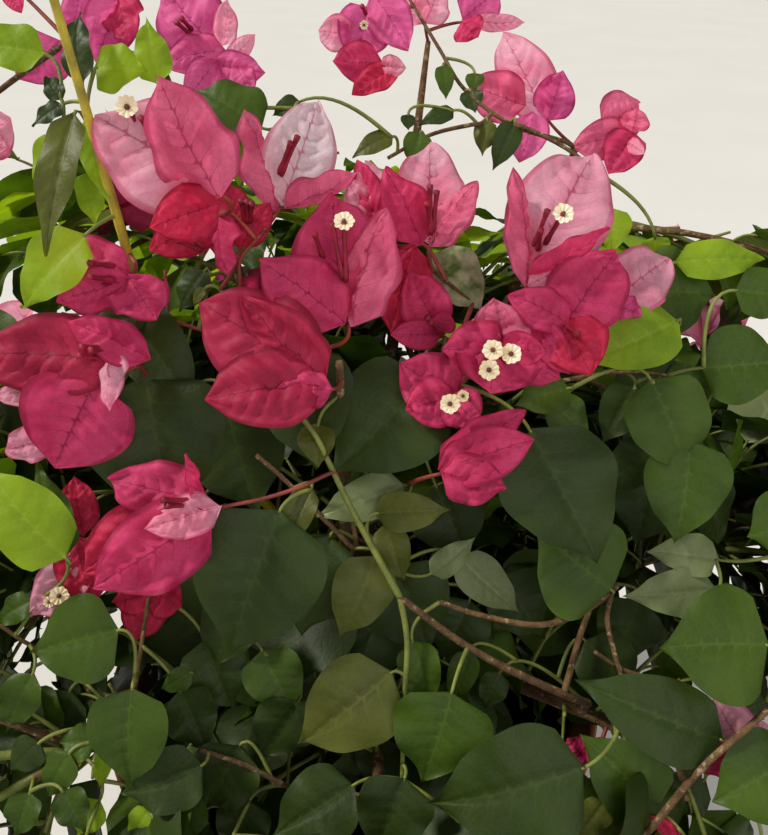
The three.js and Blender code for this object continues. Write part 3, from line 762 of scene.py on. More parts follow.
def grow_leaf(line, t, key, hand, last, size):
    """A leaf on a twig, to one hand of it. It is left out where it would hide what is placed."""
    point, forward = line.at(t), line.tangent(t)
    outward = (point - CROWN_CENTRE).normalized()
    side = forward.cross(outward)
    side = side.normalized() if side.length > 0.1 else forward.cross(RIGHT).normalized()
    spread = 0.15 if last else 0.85
    way = forward * 0.6 + side * hand * spread + outward * (0.25 + 0.3 * chance(key, 20)) - UP * 0.15
    way.normalize()
    root = point + way * (0.009 + 0.009 * chance(key, 21))
    along = (way - UP * (0.1 + 0.5 * chance(key, 22))).normalized()
    normal = UP + outward * 1.1
    normal = normal + side * 0.9 * (chance(key, 30) - 0.5) + forward * 0.5 * (chance(key, 31) - 0.5)
    length = size * (0.72 + 0.45 * chance(key, 40)) * (0.62 if last else 1)
    tip = root + along * length
    if hides_view(root) or hides_view(tip) or hides_view(root.lerp(tip, 0.5)):
        return
    if not (clear_of_pot(tip) and clear_of_pot(root)) or tip.z < FLOOR_CLEARANCE:
        return
    curl = 0.25 + 0.7 * chance(key, 41)
    tone = grown_tone(root, key)
    PLAIN_LEAF.add(
        leaves, TONE_NAMES.index(tone), chance(key, 42), root, along, normal, length,
        length * (0.68 + 0.14 * chance(key, 43)), curl=curl, fold=0.12 + 0.3 * chance(key, 44),
        cup=0.25 * chance(key, 45), wave=0.001 + 0.0016 * chance(key, 46),
        twist=0.5 * (chance(key, 47) - 0.5),
        bend=0.3 * (chance(key, 48) - 0.5), phase=chance(key, 49),
    )
    petiole(point, root, along)


def grow_leaves(line, key, size, spacing, start):
    """Leaves along a twig, by turns to either hand, the last of them small."""
    count = max(2, round(line.length * (1 - start) / spacing))
    for k in range(count):
        t = start + (1 - start) * (k + 0.7) / count
        grow_leaf(line, t, key * 37 + k, 1 if k % 2 else -1, k == count - 1, size)


def bloom_frame(axis):
    """Two directions square to a bloom's axis: towards the eye, and sideways."""
    front = -AWAY - axis * (-AWAY).dot(axis)
    if front.length < 0.5:
        front = UP - axis * UP.dot(axis)
    front.normalize()
    return front, axis.cross(front).normalized()


def star_flower(at, axis, size, key):
    """A small open flower, saucer-shaped, with ten blunt lobes in five pairs and a dark throat."""
    front, side = bloom_frame(axis)
    sectors, rings = 60, 5
    angles = np.arange(sectors) * 2 * math.pi / sectors
    turned = angles + chance(key, 60)
    lobes = 0.72 + 0.2 * np.abs(np.cos(5 * turned)) ** 0.5 + 0.1 * np.abs(np.cos(2.5 * turned)) ** 0.7
    verts = [np.array(at + axis * -0.0006)]
    for ring in range(1, rings + 1):
        share = ring / rings
        reach = size * 0.5 * share * (0.6 + (lobes - 0.6) * share**1.5)
        lift = size * (0.16 * share**2 - 0.05 * share**6) + 0.0002 * np.cos(10 * angles)
        for angle, r, z in zip(angles, reach, lift):
            outward = front * math.cos(angle) + side * math.sin(angle)
            verts.append(np.array(at + axis * float(z) + outward * float(r)))
    quads, throat = ring_faces(sectors, rings, 1, 0, flipped=True)
    flowers.add(verts, quads, None, STAR)
    flowers.add(verts, None, throat, THROAT)
    tube(flowers, Path([at, at + axis * 0.0012], 2), taper(0.13 * size, 0.09 * size), 8, 2, THROAT)


def flower_tube(start, end, axis):
    """A slender flower tube, a little swollen at its foot and at the bud at its end."""
    line = Path([start, end - axis * 0.5 * (end - start).length, end], 10)
    def radius(t, angles):
        swell = 0.0008 + 0.00035 * math.exp(-((t - 0.16) / 0.12) ** 2) + 0.0004 * max(0, t - 0.75) / 0.25
        return swell * (1 + 0.1 * np.cos(5 * angles))
    tube(flowers, line, radius, 10, 12, TUBE)


def bloom(base, axis, opening, length, turns, tone, key, stars):
    """Three bracts round their flower tubes. turns are the bracts' bearings round the axis."""
    axis = axis.normalized()
    front, side = bloom_frame(axis)
    starting, ending = math.radians(0.5 * opening), math.radians(1.35 * opening)
    for i, turn in enumerate(turns):
        turn = math.radians(turn)
        radial = front * math.cos(turn) + side * math.sin(turn)
        leaning = starting * (0.85 + 0.3 * chance(key + i, 70))
        along = axis * math.cos(leaning) + radial * math.sin(leaning)
        inner = axis * math.sin(leaning) - radial * math.cos(leaning)
        size = length * (0.93 + 0.12 * chance(key + i, 71))
        PLAIN_BRACT.add(
            bracts, BRACT_NAMES.index(tone), chance(key + i, 72), base, along, inner, size,
            size * (0.84 + 0.1 * chance(key + i, 73)), curl=ending - starting,
            fold=0.34 + 0.2 * chance(key + i, 74),
            cup=0.12, wave=0.0012 + 0.0016 * chance(key + i, 75), twist=0.5 * (chance(key + i, 76) - 0.5),
            bend=0.25 * (chance(key + i, 77) - 0.5), phase=chance(key + i, 78), quilt=0.02, groove=-0.012,
            crumple=0.0011,
        )
        foot = base + along * 0.16 * size + inner * 0.001
        spread = 0.2 * math.sin(math.radians(opening))
        end = base + (axis * 0.92 + radial * spread) * (0.5 + 0.06 * i) * length
        heading = (end - foot).normalized()
        flower_tube(foot, end, heading)
        if i < stars:
            star_flower(end, heading, GROWN_STAR, key + i)


def grow_bloom(line, key):
    """A bloom at a twig's end, where it hides nothing that is placed."""
    axis = (line.tangent(1) + UP * 0.3).normalized()
    base = line.at(1)
    across, down, depth = seen_from_eye(base)
    if outside_picture(across, down) < 10 and depth < NEAR_LIMIT + 0.03:
        return
    if any(hides_view(base + axis * reach) for reach in (0.0, 0.03, 0.05)):
        return
    first = 360 * chance(key, 3)
    tone = "magenta" if chance(key, 8) < 0.3 else ("pink" if chance(key, 8) < 0.7 else "light")
    turns = (first, first + 120, first + 240)
    opening, length = 40 + 18 * chance(key, 9), 0.040 + 0.007 * chance(key, 10)
    stars = 1 if chance(key, 11) > 0.5 else 0
    bloom(base, axis, opening, length, turns, tone, key, stars)


def visible_part(line):
    """The line as far as it may go without standing in front of the placed leaves; none if that is short."""
    parts, least = 16, 5
    for i in range(1, parts + 1):
        if hides_view(line.at(i / parts)):
            return None if i < least else Path([line.at(k / parts) for k in range(i)], bezier=False)
    return line


def grow_mass(mass, placed_points):
    """The twigs of one mass, each with its leaves, its two branches and, on some, a bloom."""
    tips = [tip for tip in SHELL_TIPS if nearest_mass(tip["at"]) is mass] + own_tips(mass)
    for tip in tips:
        if any((tip["at"] - point).length < TWIG_CLEARANCE for point in placed_points):
            continue
        end = tip["at"]
        if tip["outer"] and not mass.get("own"):
            end = end + (end - CROWN_CENTRE).normalized() * TIP_BEYOND
        line = visible_part(twig_line(mass, end))
        if line is None:
            continue
        key = tip["key"]
        skin = BROWN if chance(key, 1) < 0.6 else GREEN
        tube(twigs, line, taper(*TWIG_RADII), 6, 10, skin, chance(key, 2))
        whole = (line.at(1) - end).length < 0.004
        blooming = whole and tip["outer"] and tip["height"] > BLOOM_LOWEST and chance(key, 7) < BLOOM_CHANCE
        grow_leaves(line, key, *TWIG_LEAVES)
        if blooming:
            grow_bloom(line, key)
        for j, share in enumerate(BRANCH_SHARES):
            point, forward = line.at(share), line.tangent(share)
            outward = (point - CROWN_CENTRE).normalized()
            aside = forward.cross(outward).normalized() * (1 if j else -1)
            reach = 0.038 + 0.02 * chance(key, 5 + j)
            end = point + (forward * 0.55 + aside * 0.8 + outward * 0.35).normalized() * reach
            branch = visible_part(Path([point, point.lerp(end, 0.5) + UP * 0.006, end], 12))
            if branch is None:
                continue
            tube(twigs, branch, taper(*BRANCH_RADII), 5, 6, GREEN, chance(key, 6))
            grow_leaves(branch, key * 3 + j + 1, *BRANCH_LEAVES)


# Of the tones, pale and partly light are painted sunlight, and deep is painted shade.
# Blooms set by the picture, each: its foot (pixels), its depth (mm), its bracts and its flower tubes.
# The bracts run from the hindmost to the foremost.
# A bract: foot and tip (pixels), width (pixels), how much nearer its tip is (mm), side that shows (1 inner,
# -1 outer), how far it is turned about its midrib (degrees), and its tone.
# A flower tube: foot and end (pixels), and its state: closed, open, open towards the eye, or so but small.
CLOSED, OPEN, FACING, SMALL = 0, 1, 2, 3
STAR_SIZES = {OPEN: 0.0074, FACING: 0.0072, SMALL: 0.0044}
PLACED_BLOOMS = [
    ((223, 196), 270, [
        (223, 196, 97, 104, 112, 8, 1, 0, "light"),
        (221, 203, 146, 224, 56, 8, -1, 0, "red"),
        (221, 198, 150, 74, 88, 23, -1, -28, "rose"),
    ], [(143, 132, 127, 107, 1), (150, 135, 141, 118, 0)]),
    ((217, 214), 290, [
        (219, 216, 146, 250, 50, 4, -1, 0, "red"),
        (219, 208, 223, 279, 42, 2, -1, 45, "pink"),
    ], [(205, 247, 181, 232, 0), (201, 250, 176, 240, 0)]),
    ((240, 248), 298, [
        (240, 248, 222, 182, 46, 0, 1, 0, "red"),
        (240, 248, 266, 198, 34, 3, -1, 0, "red"),
    ], [(244, 222, 241, 200, 0), (247, 222, 247, 201, 0), (250, 222, 252, 203, 0)]),
    ((129, 276), 288, [
        (131, 272, 46, 249, 52, 2, 1, 20, "pink"),
        (131, 279, 51, 296, 50, 6, 1, -18, "pink"),
        (129, 276, 152, 323, 60, 6, -1, 0, "pink"),
    ], [(114, 266, 89, 263, 0), (114, 280, 89, 277, 0)]),
    ((120, 360), 284, [
        (122, 362, -28, 340, 84, 0, 1, 0, "deep"),
        (150, 360, 66, 316, 46, 8, -1, 15, "pink"),
        (113, 348, 112, 412, 34, 8, -1, 40, "light"),
    ], [(109, 347, 80, 347, 0), (107, 358, 78, 356, 0), (108, 352, 90, 350, 0)]),
    ((95, 388), 288, [
        (52, 436, 6, 455, 38, -4, 1, 0, "light"),
        (66, 386, -10, 398, 36, 2, -1, 20, "light"),
        (96, 380, 50, 469, 112, 8, 1, 0, "pink"),
    ], []),
    ((332, 389), 282, [
        (318, 378, 197, 298, 104, 0, 1, 0, "deep"),
        (326, 380, 240, 292, 70, 9, -1, -30, "deep"),
        (322, 378, 203, 408, 84, 6, 1, 12, "deep"),
        (333, 390, 275, 388, 40, 2, -1, 0, "pink"),
    ], []),
    ((349, 327), 288, [
        (347, 322, 321, 192, 96, -6, 1, 0, "pink"),
        (346, 324, 260, 254, 76, 9, -1, 10, "pink"),
        (352, 327, 386, 203, 70, 7, -1, -40, "rose"),
    ], [(346, 282, 344, 222, 1), (343, 280, 332, 223, 0), (323, 258, 314, 233, 0)]),
    ((281, 210), 303, [
        (281, 206, 323, 100, 74, -8, 1, 0, "pale"),
        (277, 212, 241, 106, 52, 6, -1, 45, "rose"),
        (284, 208, 358, 168, 46, 8, -1, 48, "rose"),
    ], [(281, 176, 298, 136, 0), (279, 174, 291, 142, 0)]),
    ((429, 248), 306, [
        (429, 244, 429, 139, 72, -6, 1, 0, "light"),
        (430, 247, 478, 178, 46, 6, -1, -42, "rose"),
        (421, 246, 388, 164, 56, 5, -1, 30, "pink"),
    ], [(431, 235, 430, 185, 0), (433, 232, 437, 191, 0), (430, 228, 427, 203, 0)]),
    ((388, 240), 314, [
        (388, 240, 372, 158, 50, 0, 1, 15, "light"),
        (386, 240, 340, 182, 46, 3, -1, 0, "light"),
        (384, 236, 352, 160, 40, -2, 1, -20, "pink"),
    ], []),
    ((416, 246), 312, [
        (414, 244, 386, 334, 58, 0, -1, 0, "red"),
        (405, 250, 362, 318, 46, -3, -1, 0, "pink"),
    ], []),
    ((441, 334), 303, [
        (441, 333, 404, 274, 52, -2, 1, 0, "pink"),
        (441, 335, 389, 336, 32, 5, -1, 10, "pink"),
        (440, 333, 448, 312, 26, 0, 1, 0, "pink"),
    ], [(442, 333, 427, 317, 0), (440, 330, 430, 322, 0)]),
    ((526, 290), 289, [
        (532, 268, 590, 148, 104, -6, 1, 0, "light"),
        (526, 288, 516, 163, 44, 4, -1, 48, "rose"),
        (527, 286, 584, 258, 34, -4, 1, 0, "light"),
        (528, 276, 611, 223, 34, 9, -1, 50, "pink"),
    ], [(545, 244, 563, 214, 1), (534, 246, 548, 210, 0), (538, 250, 541, 230, 0)]),
    ((566, 322), 287, [
        (564, 326, 614, 246, 82, 2, 1, 8, "pink"),
        (564, 320, 592, 376, 66, 6, 1, -10, "red"),
        (568, 324, 509, 288, 46, 5, 1, 18, "pink"),
        (532, 320, 573, 375, 34, 0, -1, 0, "pink"),
    ], [(566, 326, 578, 334, 0)]),
    ((614, 300), 299, [
        (612, 300, 670, 255, 66, -4, 1, 0, "light"),
        (612, 301, 642, 317, 30, 3, -1, 25, "magenta"),
    ], [(617, 294, 624, 280, 0)]),
    ((500, 350), 284, [
        (506, 352, 563, 378, 42, 0, -1, 0, "pink"),
        (503, 356, 500, 296, 58, 3, 1, 0, "rose"),
        (508, 350, 440, 352, 60, 5, 1, 10, "pink"),
        (500, 344, 486, 394, 84, 6, 1, -6, "pink"),
        (500, 352, 546, 346, 40, 2, 1, 0, "pink"),
    ], [(496, 356, 493, 350, 2), (508, 358, 511, 354, 2), (492, 374, 489, 370, 2)]),
    ((454, 398), 291, [
        (456, 400, 398, 362, 66, 4, 1, 0, "pink"),
        (456, 396, 404, 410, 54, 4, 1, 0, "pink"),
        (450, 396, 478, 426, 46, 5, 1, 0, "pink"),
    ], [(452, 408, 450, 404, 2), (464, 399, 463, 396, 3)]),
    ((440, 474), 284, [
        (438, 470, 528, 408, 52, 2, -1, 25, "pink"),
        (439, 470, 538, 440, 58, 6, -1, -10, "pink"),
        (440, 472, 508, 488, 54, 5, -1, 10, "pink"),
    ], []),
    ((221, 507), 281, [
        (160, 508, 80, 572, 58, 0, 1, 0, "red"),
        (207, 504, 107, 474, 62, -2, 1, 0, "pink"),
        (205, 512, 187, 451, 26, 4, -1, 52, "pink"),
        (221, 506, 142, 530, 46, 9, -1, 10, "light"),
        (212, 514, 88, 588, 86, 4, -1, -8, "pink"),
    ], [(196, 500, 162, 500, 0), (194, 505, 166, 506, 0)]),
    ((84, 542), 312, [
        (88, 552, 30, 618, 48, 2, 1, 0, "light"),
        (74, 536, 92, 607, 52, 0, -1, 0, "red"),
        (84, 536, 68, 476, 40, 0, -1, 0, "red"),
    ], [(66, 590, 59, 596, 2), (54, 600, 49, 602, 3)]),
    ((150, 592), 322, [
        (150, 590, 137, 642, 46, 0, -1, 0, "red"),
        (152, 592, 184, 604, 44, 0, -1, 0, "red"),
        (150, 594, 112, 604, 36, 0, -1, 0, "red"),
    ], []),
    ((118, -2), 372, [
        (122, -6, 94, 64, 52, 0, 1, 0, "magenta"),
        (118, -4, 131, 42, 44, 4, -1, 20, "pink"),
        (80, -8, 74, 40, 30, 0, 1, 0, "magenta"),
    ], []),
    ((60, 46), 372, [
        (60, 40, 20, 84, 54, 0, -1, 0, "magenta"),
    ], []),
    ((222, 54), 358, [
        (220, 52, 156, -12, 72, 0, 1, 0, "magenta"),
        (226, 50, 158, 58, 40, 5, -1, 15, "magenta"),
        (222, 46, 231, 0, 28, 3, -1, 25, "light"),
        (226, 62, 258, 36, 20, 3, -1, 0, "light"),
        (214, 64, 267, 74, 34, 4, 1, 10, "magenta"),
        (218, 60, 182, 100, 36, 5, -1, 0, "magenta"),
        (236, 66, 254, 98, 28, 2, 1, 0, "magenta"),
    ], [(190, 34, 176, 22, 0), (192, 30, 181, 18, 0)]),
    ((366, 22), 396, [
        (372, 8, 352, 62, 56, 2, 1, 0, "magenta"),
        (372, -8, 411, 51, 46, 6, -1, -10, "magenta"),
        (352, 36, 318, 28, 36, -3, 1, 0, "light"),
        (382, 62, 332, 66, 42, 2, -1, 0, "pink"),
        (396, 64, 354, 100, 30, 3, 1, 15, "red"),
        (380, 66, 407, 66, 22, 3, 1, 0, "light"),
    ], [(364, 28, 364, 25, 3), (366, 14, 362, 6, 0)]),
    ((425, 24), 412, [
        (425, 24, 442, -14, 38, 0, 1, 0, "light"),
        (424, 24, 404, -10, 30, 2, -1, 0, "light"),
    ], []),
    ((462, 22), 412, [
        (462, 20, 500, -14, 44, 0, -1, 0, "magenta"),
        (470, 21, 527, 22, 20, 3, -1, 25, "light"),
        (462, 21, 476, 40, 34, 4, -1, 0, "pink"),
    ], []),
    ((548, 120), 392, [
        (546, 120, 504, 28, 56, 0, 1, 0, "light"),
        (547, 121, 566, 70, 42, 10, -1, 0, "magenta"),
        (526, 106, 467, 84, 50, -4, 1, 0, "rose"),
        (534, 112, 524, 165, 40, 2, -1, 0, "magenta"),
    ], []),
    ((632, 138), 386, [
        (602, 128, 641, 104, 52, 0, 1, 0, "rose"),
        (634, 136, 569, 140, 42, 5, -1, 10, "rose"),
        (634, 132, 606, 174, 42, 3, 1, 0, "pink"),
        (628, 142, 646, 153, 15, 11, -1, 0, "light"),
        (632, 132, 640, 108, 30, 2, -1, 0, "rose"),
    ], []),
    ((745, 750), 298, [
        (746, 750, 708, 698, 50, 2, 1, 0, "light"),
        (742, 752, 694, 764, 34, 4, -1, 0, "pink"),
        (744, 748, 778, 728, 40, 2, 1, 0, "light"),
    ], []),
    ((588, 762), 326, [
        (588, 762, 566, 738, 30, 0, 1, 0, "pink"),
        (588, 762, 600, 735, 22, 0, -1, 0, "pink"),
    ], []),
    ((676, 846), 300, [
        (682, 842, 630, 812, 30, 2, -1, 0, "pink"),
        (672, 848, 650, 814, 30, 2, 1, 0, "red"),
    ], []),
    ((-26, 140), 315, [
        (-26, 142, 14, 120, 54, 0, 1, 0, "light"),
        (-26, 140, 8, 152, 30, 3, -1, 0, "light"),
    ], []),
    ((6, -14), 372, [
        (6, -14, 22, 14, 20, 0, -1, 0, "pink"),
    ], []),
]

# Leaves set by the picture: base and tip (pixels), width (pixels), tone, depth (mm)
# The tones paint in light and shade: lime is painted sunlight, dark is painted shade.
PLACED_LEAVES = [
    (45, 54, -35, 45, 46, "lime", 285),
    (82, 84, 79, 9, 30, "dark", 275),
    (95, 68, 148, 75, 50, "lime", 280),
    (158, 84, 142, 17, 35, "lime", 290),
    (62, 100, 45, 75, 20, "dark", 285),
    (62, 104, 31, 127, 20, "dark", 285),
    (62, 130, 45, 208, 40, "lime", 285),
    (74, 113, 55, 262, 40, "olive", 270),
    (88, 117, 113, 205, 34, "lime", 282),
    (90, 170, 95, 229, 30, "lime", 290),
    (85, 235, 20, 310, 60, "lime", 280),
    (222, 388, 262, 520, 104, "dark", 328),
    (126, 312, 206, 410, 66, "dark", 302),
    (238, 262, 268, 232, 40, "mid", 316),
    (262, 128, 192, 88, 62, "mid", 326),
    (226, 128, 240, 188, 48, "lime", 328),
    (205, 118, 248, 172, 56, "mid", 332),
    (300, 101, 272, 118, 20, "dark", 330),
    (393, 136, 350, 157, 22, "olive", 340),
    (408, 114, 408, 131, 14, "dark", 350),
    (420, 132, 412, 168, 26, "mid", 345),
    (454, 110, 418, 127, 18, "dark", 355),
    (443, 65, 446, 101, 18, "mid", 370),
    (475, 73, 475, 93, 18, "mid", 380),
    (470, 90, 475, 114, 22, "dark", 370),
    (488, 120, 479, 157, 22, "olive", 360),
    (515, 122, 491, 172, 26, "dark", 350),
    (612, 209, 614, 256, 34, "lime", 330),
    (655, 237, 655, 256, 28, "lime", 335),
    (675, 262, 768, 262, 38, "lime", 310),
    (643, 292, 718, 292, 85, "mid", 315),
    (735, 290, 800, 300, 50, "mid", 305),
    (701, 368, 790, 365, 75, "mid", 310),
    (678, 320, 580, 370, 62, "lime", 300),
    (677, 360, 616, 368, 30, "dark", 318),
    (650, 378, 687, 478, 80, "mid", 300),
    (665, 375, 714, 385, 28, "mid", 315),
    (635, 385, 600, 445, 42, "dark", 320),
    (569, 388, 512, 405, 43, "mid", 300),
    (551, 400, 590, 440, 40, "mid", 315),
    (530, 430, 594, 572, 115, "dark", 290),
    (612, 590, 530, 530, 100, "mid", 305),
    (690, 440, 682, 548, 78, "mid", 300),
    (718, 560, 644, 545, 40, "pale", 308),
    (716, 590, 620, 600, 45, "pale", 305),
    (768, 645, 655, 640, 110, "mid", 285),
    (800, 520, 747, 540, 70, "mid", 290),
    (650, 445, 600, 495, 45, "dark", 322),
    (722, 740, 567, 690, 75, "dark", 290),
    (659, 808, 576, 733, 70, "mid", 300),
    (605, 800, 575, 840, 30, "olive", 305),
    (584, 768, 425, 815, 110, "dark", 280),
    (790, 760, 708, 800, 85, "mid", 285),
    (768, 700, 735, 712, 24, "dark", 300),
    (705, 780, 655, 810, 45, "dark", 310),
    (392, 672, 300, 752, 85, "olive", 300),
    (452, 692, 428, 787, 94, "mid", 290),
    (412, 640, 437, 709, 40, "mid", 305),
    (470, 650, 452, 706, 28, "mid", 325),
    (500, 672, 480, 708, 28, "dark", 325),
    (354, 785, 270, 840, 70, "dark", 295),
    (405, 778, 370, 850, 74, "dark", 292),
    (285, 745, 258, 770, 24, "pale", 330),
    (430, 256, 486, 312, 60, "marbled", 322),
    (240, 600, 215, 668, 60, "dark", 318),
    (205, 640, 232, 712, 62, "dark", 322),
    (262, 650, 292, 716, 56, "mid", 318),
    (300, 700, 262, 760, 60, "dark", 316),
    (180, 690, 212, 752, 52, "dark", 312),
    (240, 745, 200, 815, 66, "dark", 306),
    (170, 800, 205, 850, 50, "mid", 304),
    (250, 800, 230, 856, 52, "dark", 306),
    (375, 556, 342, 641, 58, "olive", 305),
    (318, 424, 317, 469, 36, "olive", 290),
    (376, 513, 452, 506, 38, "olive", 300),
    (405, 485, 312, 518, 42, "pale", 305),
    (312, 487, 279, 552, 30, "olive", 295),
    (280, 510, 222, 657, 125, "dark", 290),
    (330, 535, 300, 640, 70, "dark", 310),
    (385, 523, 405, 585, 34, "olive", 318),
    (430, 380, 330, 478, 110, "dark", 297),
    (300, 345, 310, 475, 95, "dark", 300),
    (146, 378, 175, 525, 130, "dark", 298),
    (655, 470, 630, 545, 66, "dark", 338),
    (640, 600, 610, 665, 60, "dark", 332),
    (585, 640, 640, 700, 60, "dark", 330),
    (700, 590, 745, 655, 60, "dark", 330),
    (690, 470, 722, 545, 60, "dark", 336),
    (20, 690, 60, 760, 60, "mid", 322),
    (70, 690, 40, 770, 56, "dark", 326),
    (10, 770, 50, 830, 54, "mid", 318),
    (149, 315, 70, 330, 30, "dark", 300),
    (205, 270, 180, 314, 34, "dark", 310),
    (205, 288, 193, 306, 12, "olive", 300),
    (66, 558, -20, 470, 70, "lime", 290),
    (66, 557, 30, 461, 45, "mid", 300),
    (119, 630, 28, 650, 82, "mid", 292),
    (392, 566, 436, 652, 84, "dark", 322),
    (436, 486, 468, 560, 74, "dark", 334),
    (430, 574, 480, 540, 26, "pale", 318),
    (458, 556, 518, 618, 42, "pale", 320),
    (470, 600, 440, 660, 60, "dark", 336),
    (500, 575, 545, 640, 60, "dark", 338),
    (33, 673, 10, 735, 40, "mid", 305),
    (33, 600, -5, 622, 28, "mid", 310),
    (132, 688, 125, 790, 75, "mid", 292),
    (203, 765, 120, 800, 60, "dark", 296),
    (108, 745, 98, 790, 18, "lime", 300),
    (88, 726, 78, 768, 18, "lime", 305),
    (100, 800, 78, 838, 30, "lime", 300),
    (150, 808, 130, 840, 26, "lime", 300),
    (96, 742, 58, 742, 34, "mid", 296),
    (70, 752, 50, 800, 36, "mid", 294),
    (40, 742, 8, 770, 34, "dark", 296),
    (62, 790, 88, 832, 34, "mid", 290),
    (30, 792, 20, 838, 36, "mid", 292),
    (192, 672, 160, 690, 22, "mid", 310),
    (395, 610, 300, 690, 80, "dark", 335),
]

# Stems set by the picture, from their free end to where they join: (across, down, depth in mm), then the
# radius at the free end and at the join (mm), and the kind of skin
PLACED_STEMS = [
    (((400, 597, 298), (450, 635, 302), (500, 665, 306), (570, 697, 315)), 1.3, 1.7, BROWN),
    (((275, 385, 283), (313, 432, 285), (330, 465, 288), (352, 510, 292), (385, 570, 296), (400, 597, 298)),
     0.9, 1.35, GREEN),
    (((402, 780, 300), (403, 740, 300), (405, 690, 300), (407, 640, 299), (400, 597, 298)),
     0.8, 1.2, GREEN),
    (((221, 507, 280), (262, 499, 283), (300, 487, 285), (333, 472, 288)), 0.7, 0.8, RED),
    (((440, 602, 306), (480, 615, 306), (540, 625, 306), (585, 610, 308), (615, 588, 312)),
     1.0, 1.3, BROWN),
    (((628, 690, 300), (618, 665, 302), (607, 620, 306), (612, 590, 312)), 0.9, 1.4, BROWN),
    (((668, 680, 298), (650, 678, 300), (620, 668, 303)), 0.7, 0.9, BROWN),
    (((595, 652, 300), (618, 668, 304)), 0.7, 0.8, BROWN),
    (((768, 710, 280), (700, 770, 284), (645, 835, 292)), 1.2, 1.5, BROWN),
    (((410, 0, 400), (440, 50, 385), (465, 90, 372), (512, 125, 360), (560, 140, 372)), 0.8, 1.1, BROWN),
    (((388, 158, 345), (430, 135, 350), (470, 125, 355)), 0.8, 1.0, BROWN),
    (((432, 270, 312), (475, 305, 320)), 0.7, 0.8, BROWN),
    (((200, 750, 300), (245, 765, 302), (285, 785, 308)), 0.9, 1.1, BROWN),
    (((256, 455, 300), (285, 480, 302), (336, 531, 306)), 0.9, 1.1, BROWN),
    (((135, 690, 310), (150, 590, 320)), 0.8, 1.0, BROWN),
    (((0, 625, 312), (30, 645, 316)), 0.8, 1.0, BROWN),
    (((165, 270, 305), (170, 345, 310)), 0.6, 0.8, RED),
    (((281, 208, 301), (262, 234, 294), (241, 258, 290), (240, 280, 290), (242, 318, 300)), 0.6, 0.75, RED),
    (((226, 236, 290), (232, 250, 290), (241, 260, 290)), 0.5, 0.6, RED),
]


class Network:
    """Points of the limbs and twigs that another twig may grow from."""

    def __init__(self):
        self.points = []

    def add(self, line, steps=12, start=0.0):
        for i in range(steps + 1):
            t = start + (1 - start) * i / steps
            self.points.append(line.at(t))
        self.array = np.array([tuple(p) for p in self.points])
        self.depths = (self.array - np.array(EYE)) @ np.array(AWAY)

    def best(self, point, outgoing):
        """The nearest point, with those in front of it or beyond it made dearer, and its cost."""
        ways = self.array - np.array(point)
        far = np.linalg.norm(ways, axis=1)
        depth = (point - EYE).dot(AWAY)
        nearer = np.maximum(0, depth + 0.002 - self.depths)
        ahead = np.maximum(0, ways @ np.array(outgoing)) / (far + 1e-6)
        cost = far * (1 + 0.6 * ahead) + 4.0 * nearer
        i = int(np.argmin(cost))
        return self.points[i], float(cost[i])


network = Network()
for mass in MASSES:
    network.add(mass["bough"], 16, 0.3)
    network.add(mass["stem_line"], 10)

stems = []
for places, thin, thick, skin in PLACED_STEMS:
    points = [seen_at(u, v, d / 1000) for u, v, d in places]
    stems.append({"points": points, "thin": thin / 1000, "thick": thick / 1000, "skin": skin})

# Each stem runs on from its last placed point, out of sight, to what it grows from
for stem in sorted(stems, key=lambda item: -item["thick"]):
    points = stem["points"]
    heading = (points[-1] - points[-2]).normalized()
    join, _ = network.best(points[-1], -heading)
    gap = (join - points[-1]).length
    if gap > 0.006:
        bend = points[-1] + heading * 0.35 * gap + AWAY * 0.15 * gap
        points += [points[-1].lerp(bend, 0.9), bend.lerp(join, 0.55) + AWAY * 0.1 * gap, join]
    else:
        points.append(join)
    line = smooth_path(points)
    tube(twigs, line, taper(stem["thin"], stem["thick"]), 10, max(12, 5 * len(points)), stem["skin"], 0.5)
    network.add(line, 4 * len(points))


def place_bract(u1, v1, u2, v2, width, nearer, side, turn, tone, depth, key):
    """A bract from foot to tip as the picture shows it. Returns its foot and tip."""
    root, tip = seen_at(u1, v1, depth), seen_at(u2, v2, depth - nearer / 1000)
    chord = (tip - root).normalized()
    face = (EYE - root.lerp(tip, 0.5)).normalized()
    face = Matrix.Rotation(math.radians(turn), 3, chord) @ face * side
    folded = 0.55 if turn > 30 or turn < -30 else 0.22
    calm = min(1, width / 60)
    leaf_between(
        bracts, BRACT_NAMES, FINE_BRACT, root, tip, face, width * depth / PICTURE_SCALE, tone,
        chance(key, 1),
        curl=(0.45 if side > 0 else -0.5) * (0.8 + 0.5 * chance(key, 2)),
        fold=folded * (0.7 + 0.6 * chance(key, 3)), cup=0.1, wave=calm * (0.0008 + 0.0014 * chance(key, 4)),
        bend=0.2 * (chance(key, 5) - 0.5), phase=chance(key, 6), quilt=0.03, groove=-0.016,
        crumple=0.0016 * calm,
    )
    return root, tip


def place_tube(u1, v1, u2, v2, state, depth, key):
    """A flower tube as the picture shows it, with its star where it is open."""
    start, end = seen_at(u1, v1, depth - 0.005), seen_at(u2, v2, depth - 0.015)
    toward = (EYE - end).normalized()
    if state in (FACING, SMALL):
        lean = RIGHT * 0.3 * (chance(key, 1) - 0.5) + UP * 0.3 * (chance(key, 2) - 0.2)
        axis = facing = (toward + lean).normalized()
        start = end - axis * 0.012
    else:
        axis = (end - start).normalized()
        facing = (axis * 0.7 + toward).normalized()
    flower_tube(start, end, axis)
    if state != CLOSED:
        star_flower(end, facing, STAR_SIZES[state], key)


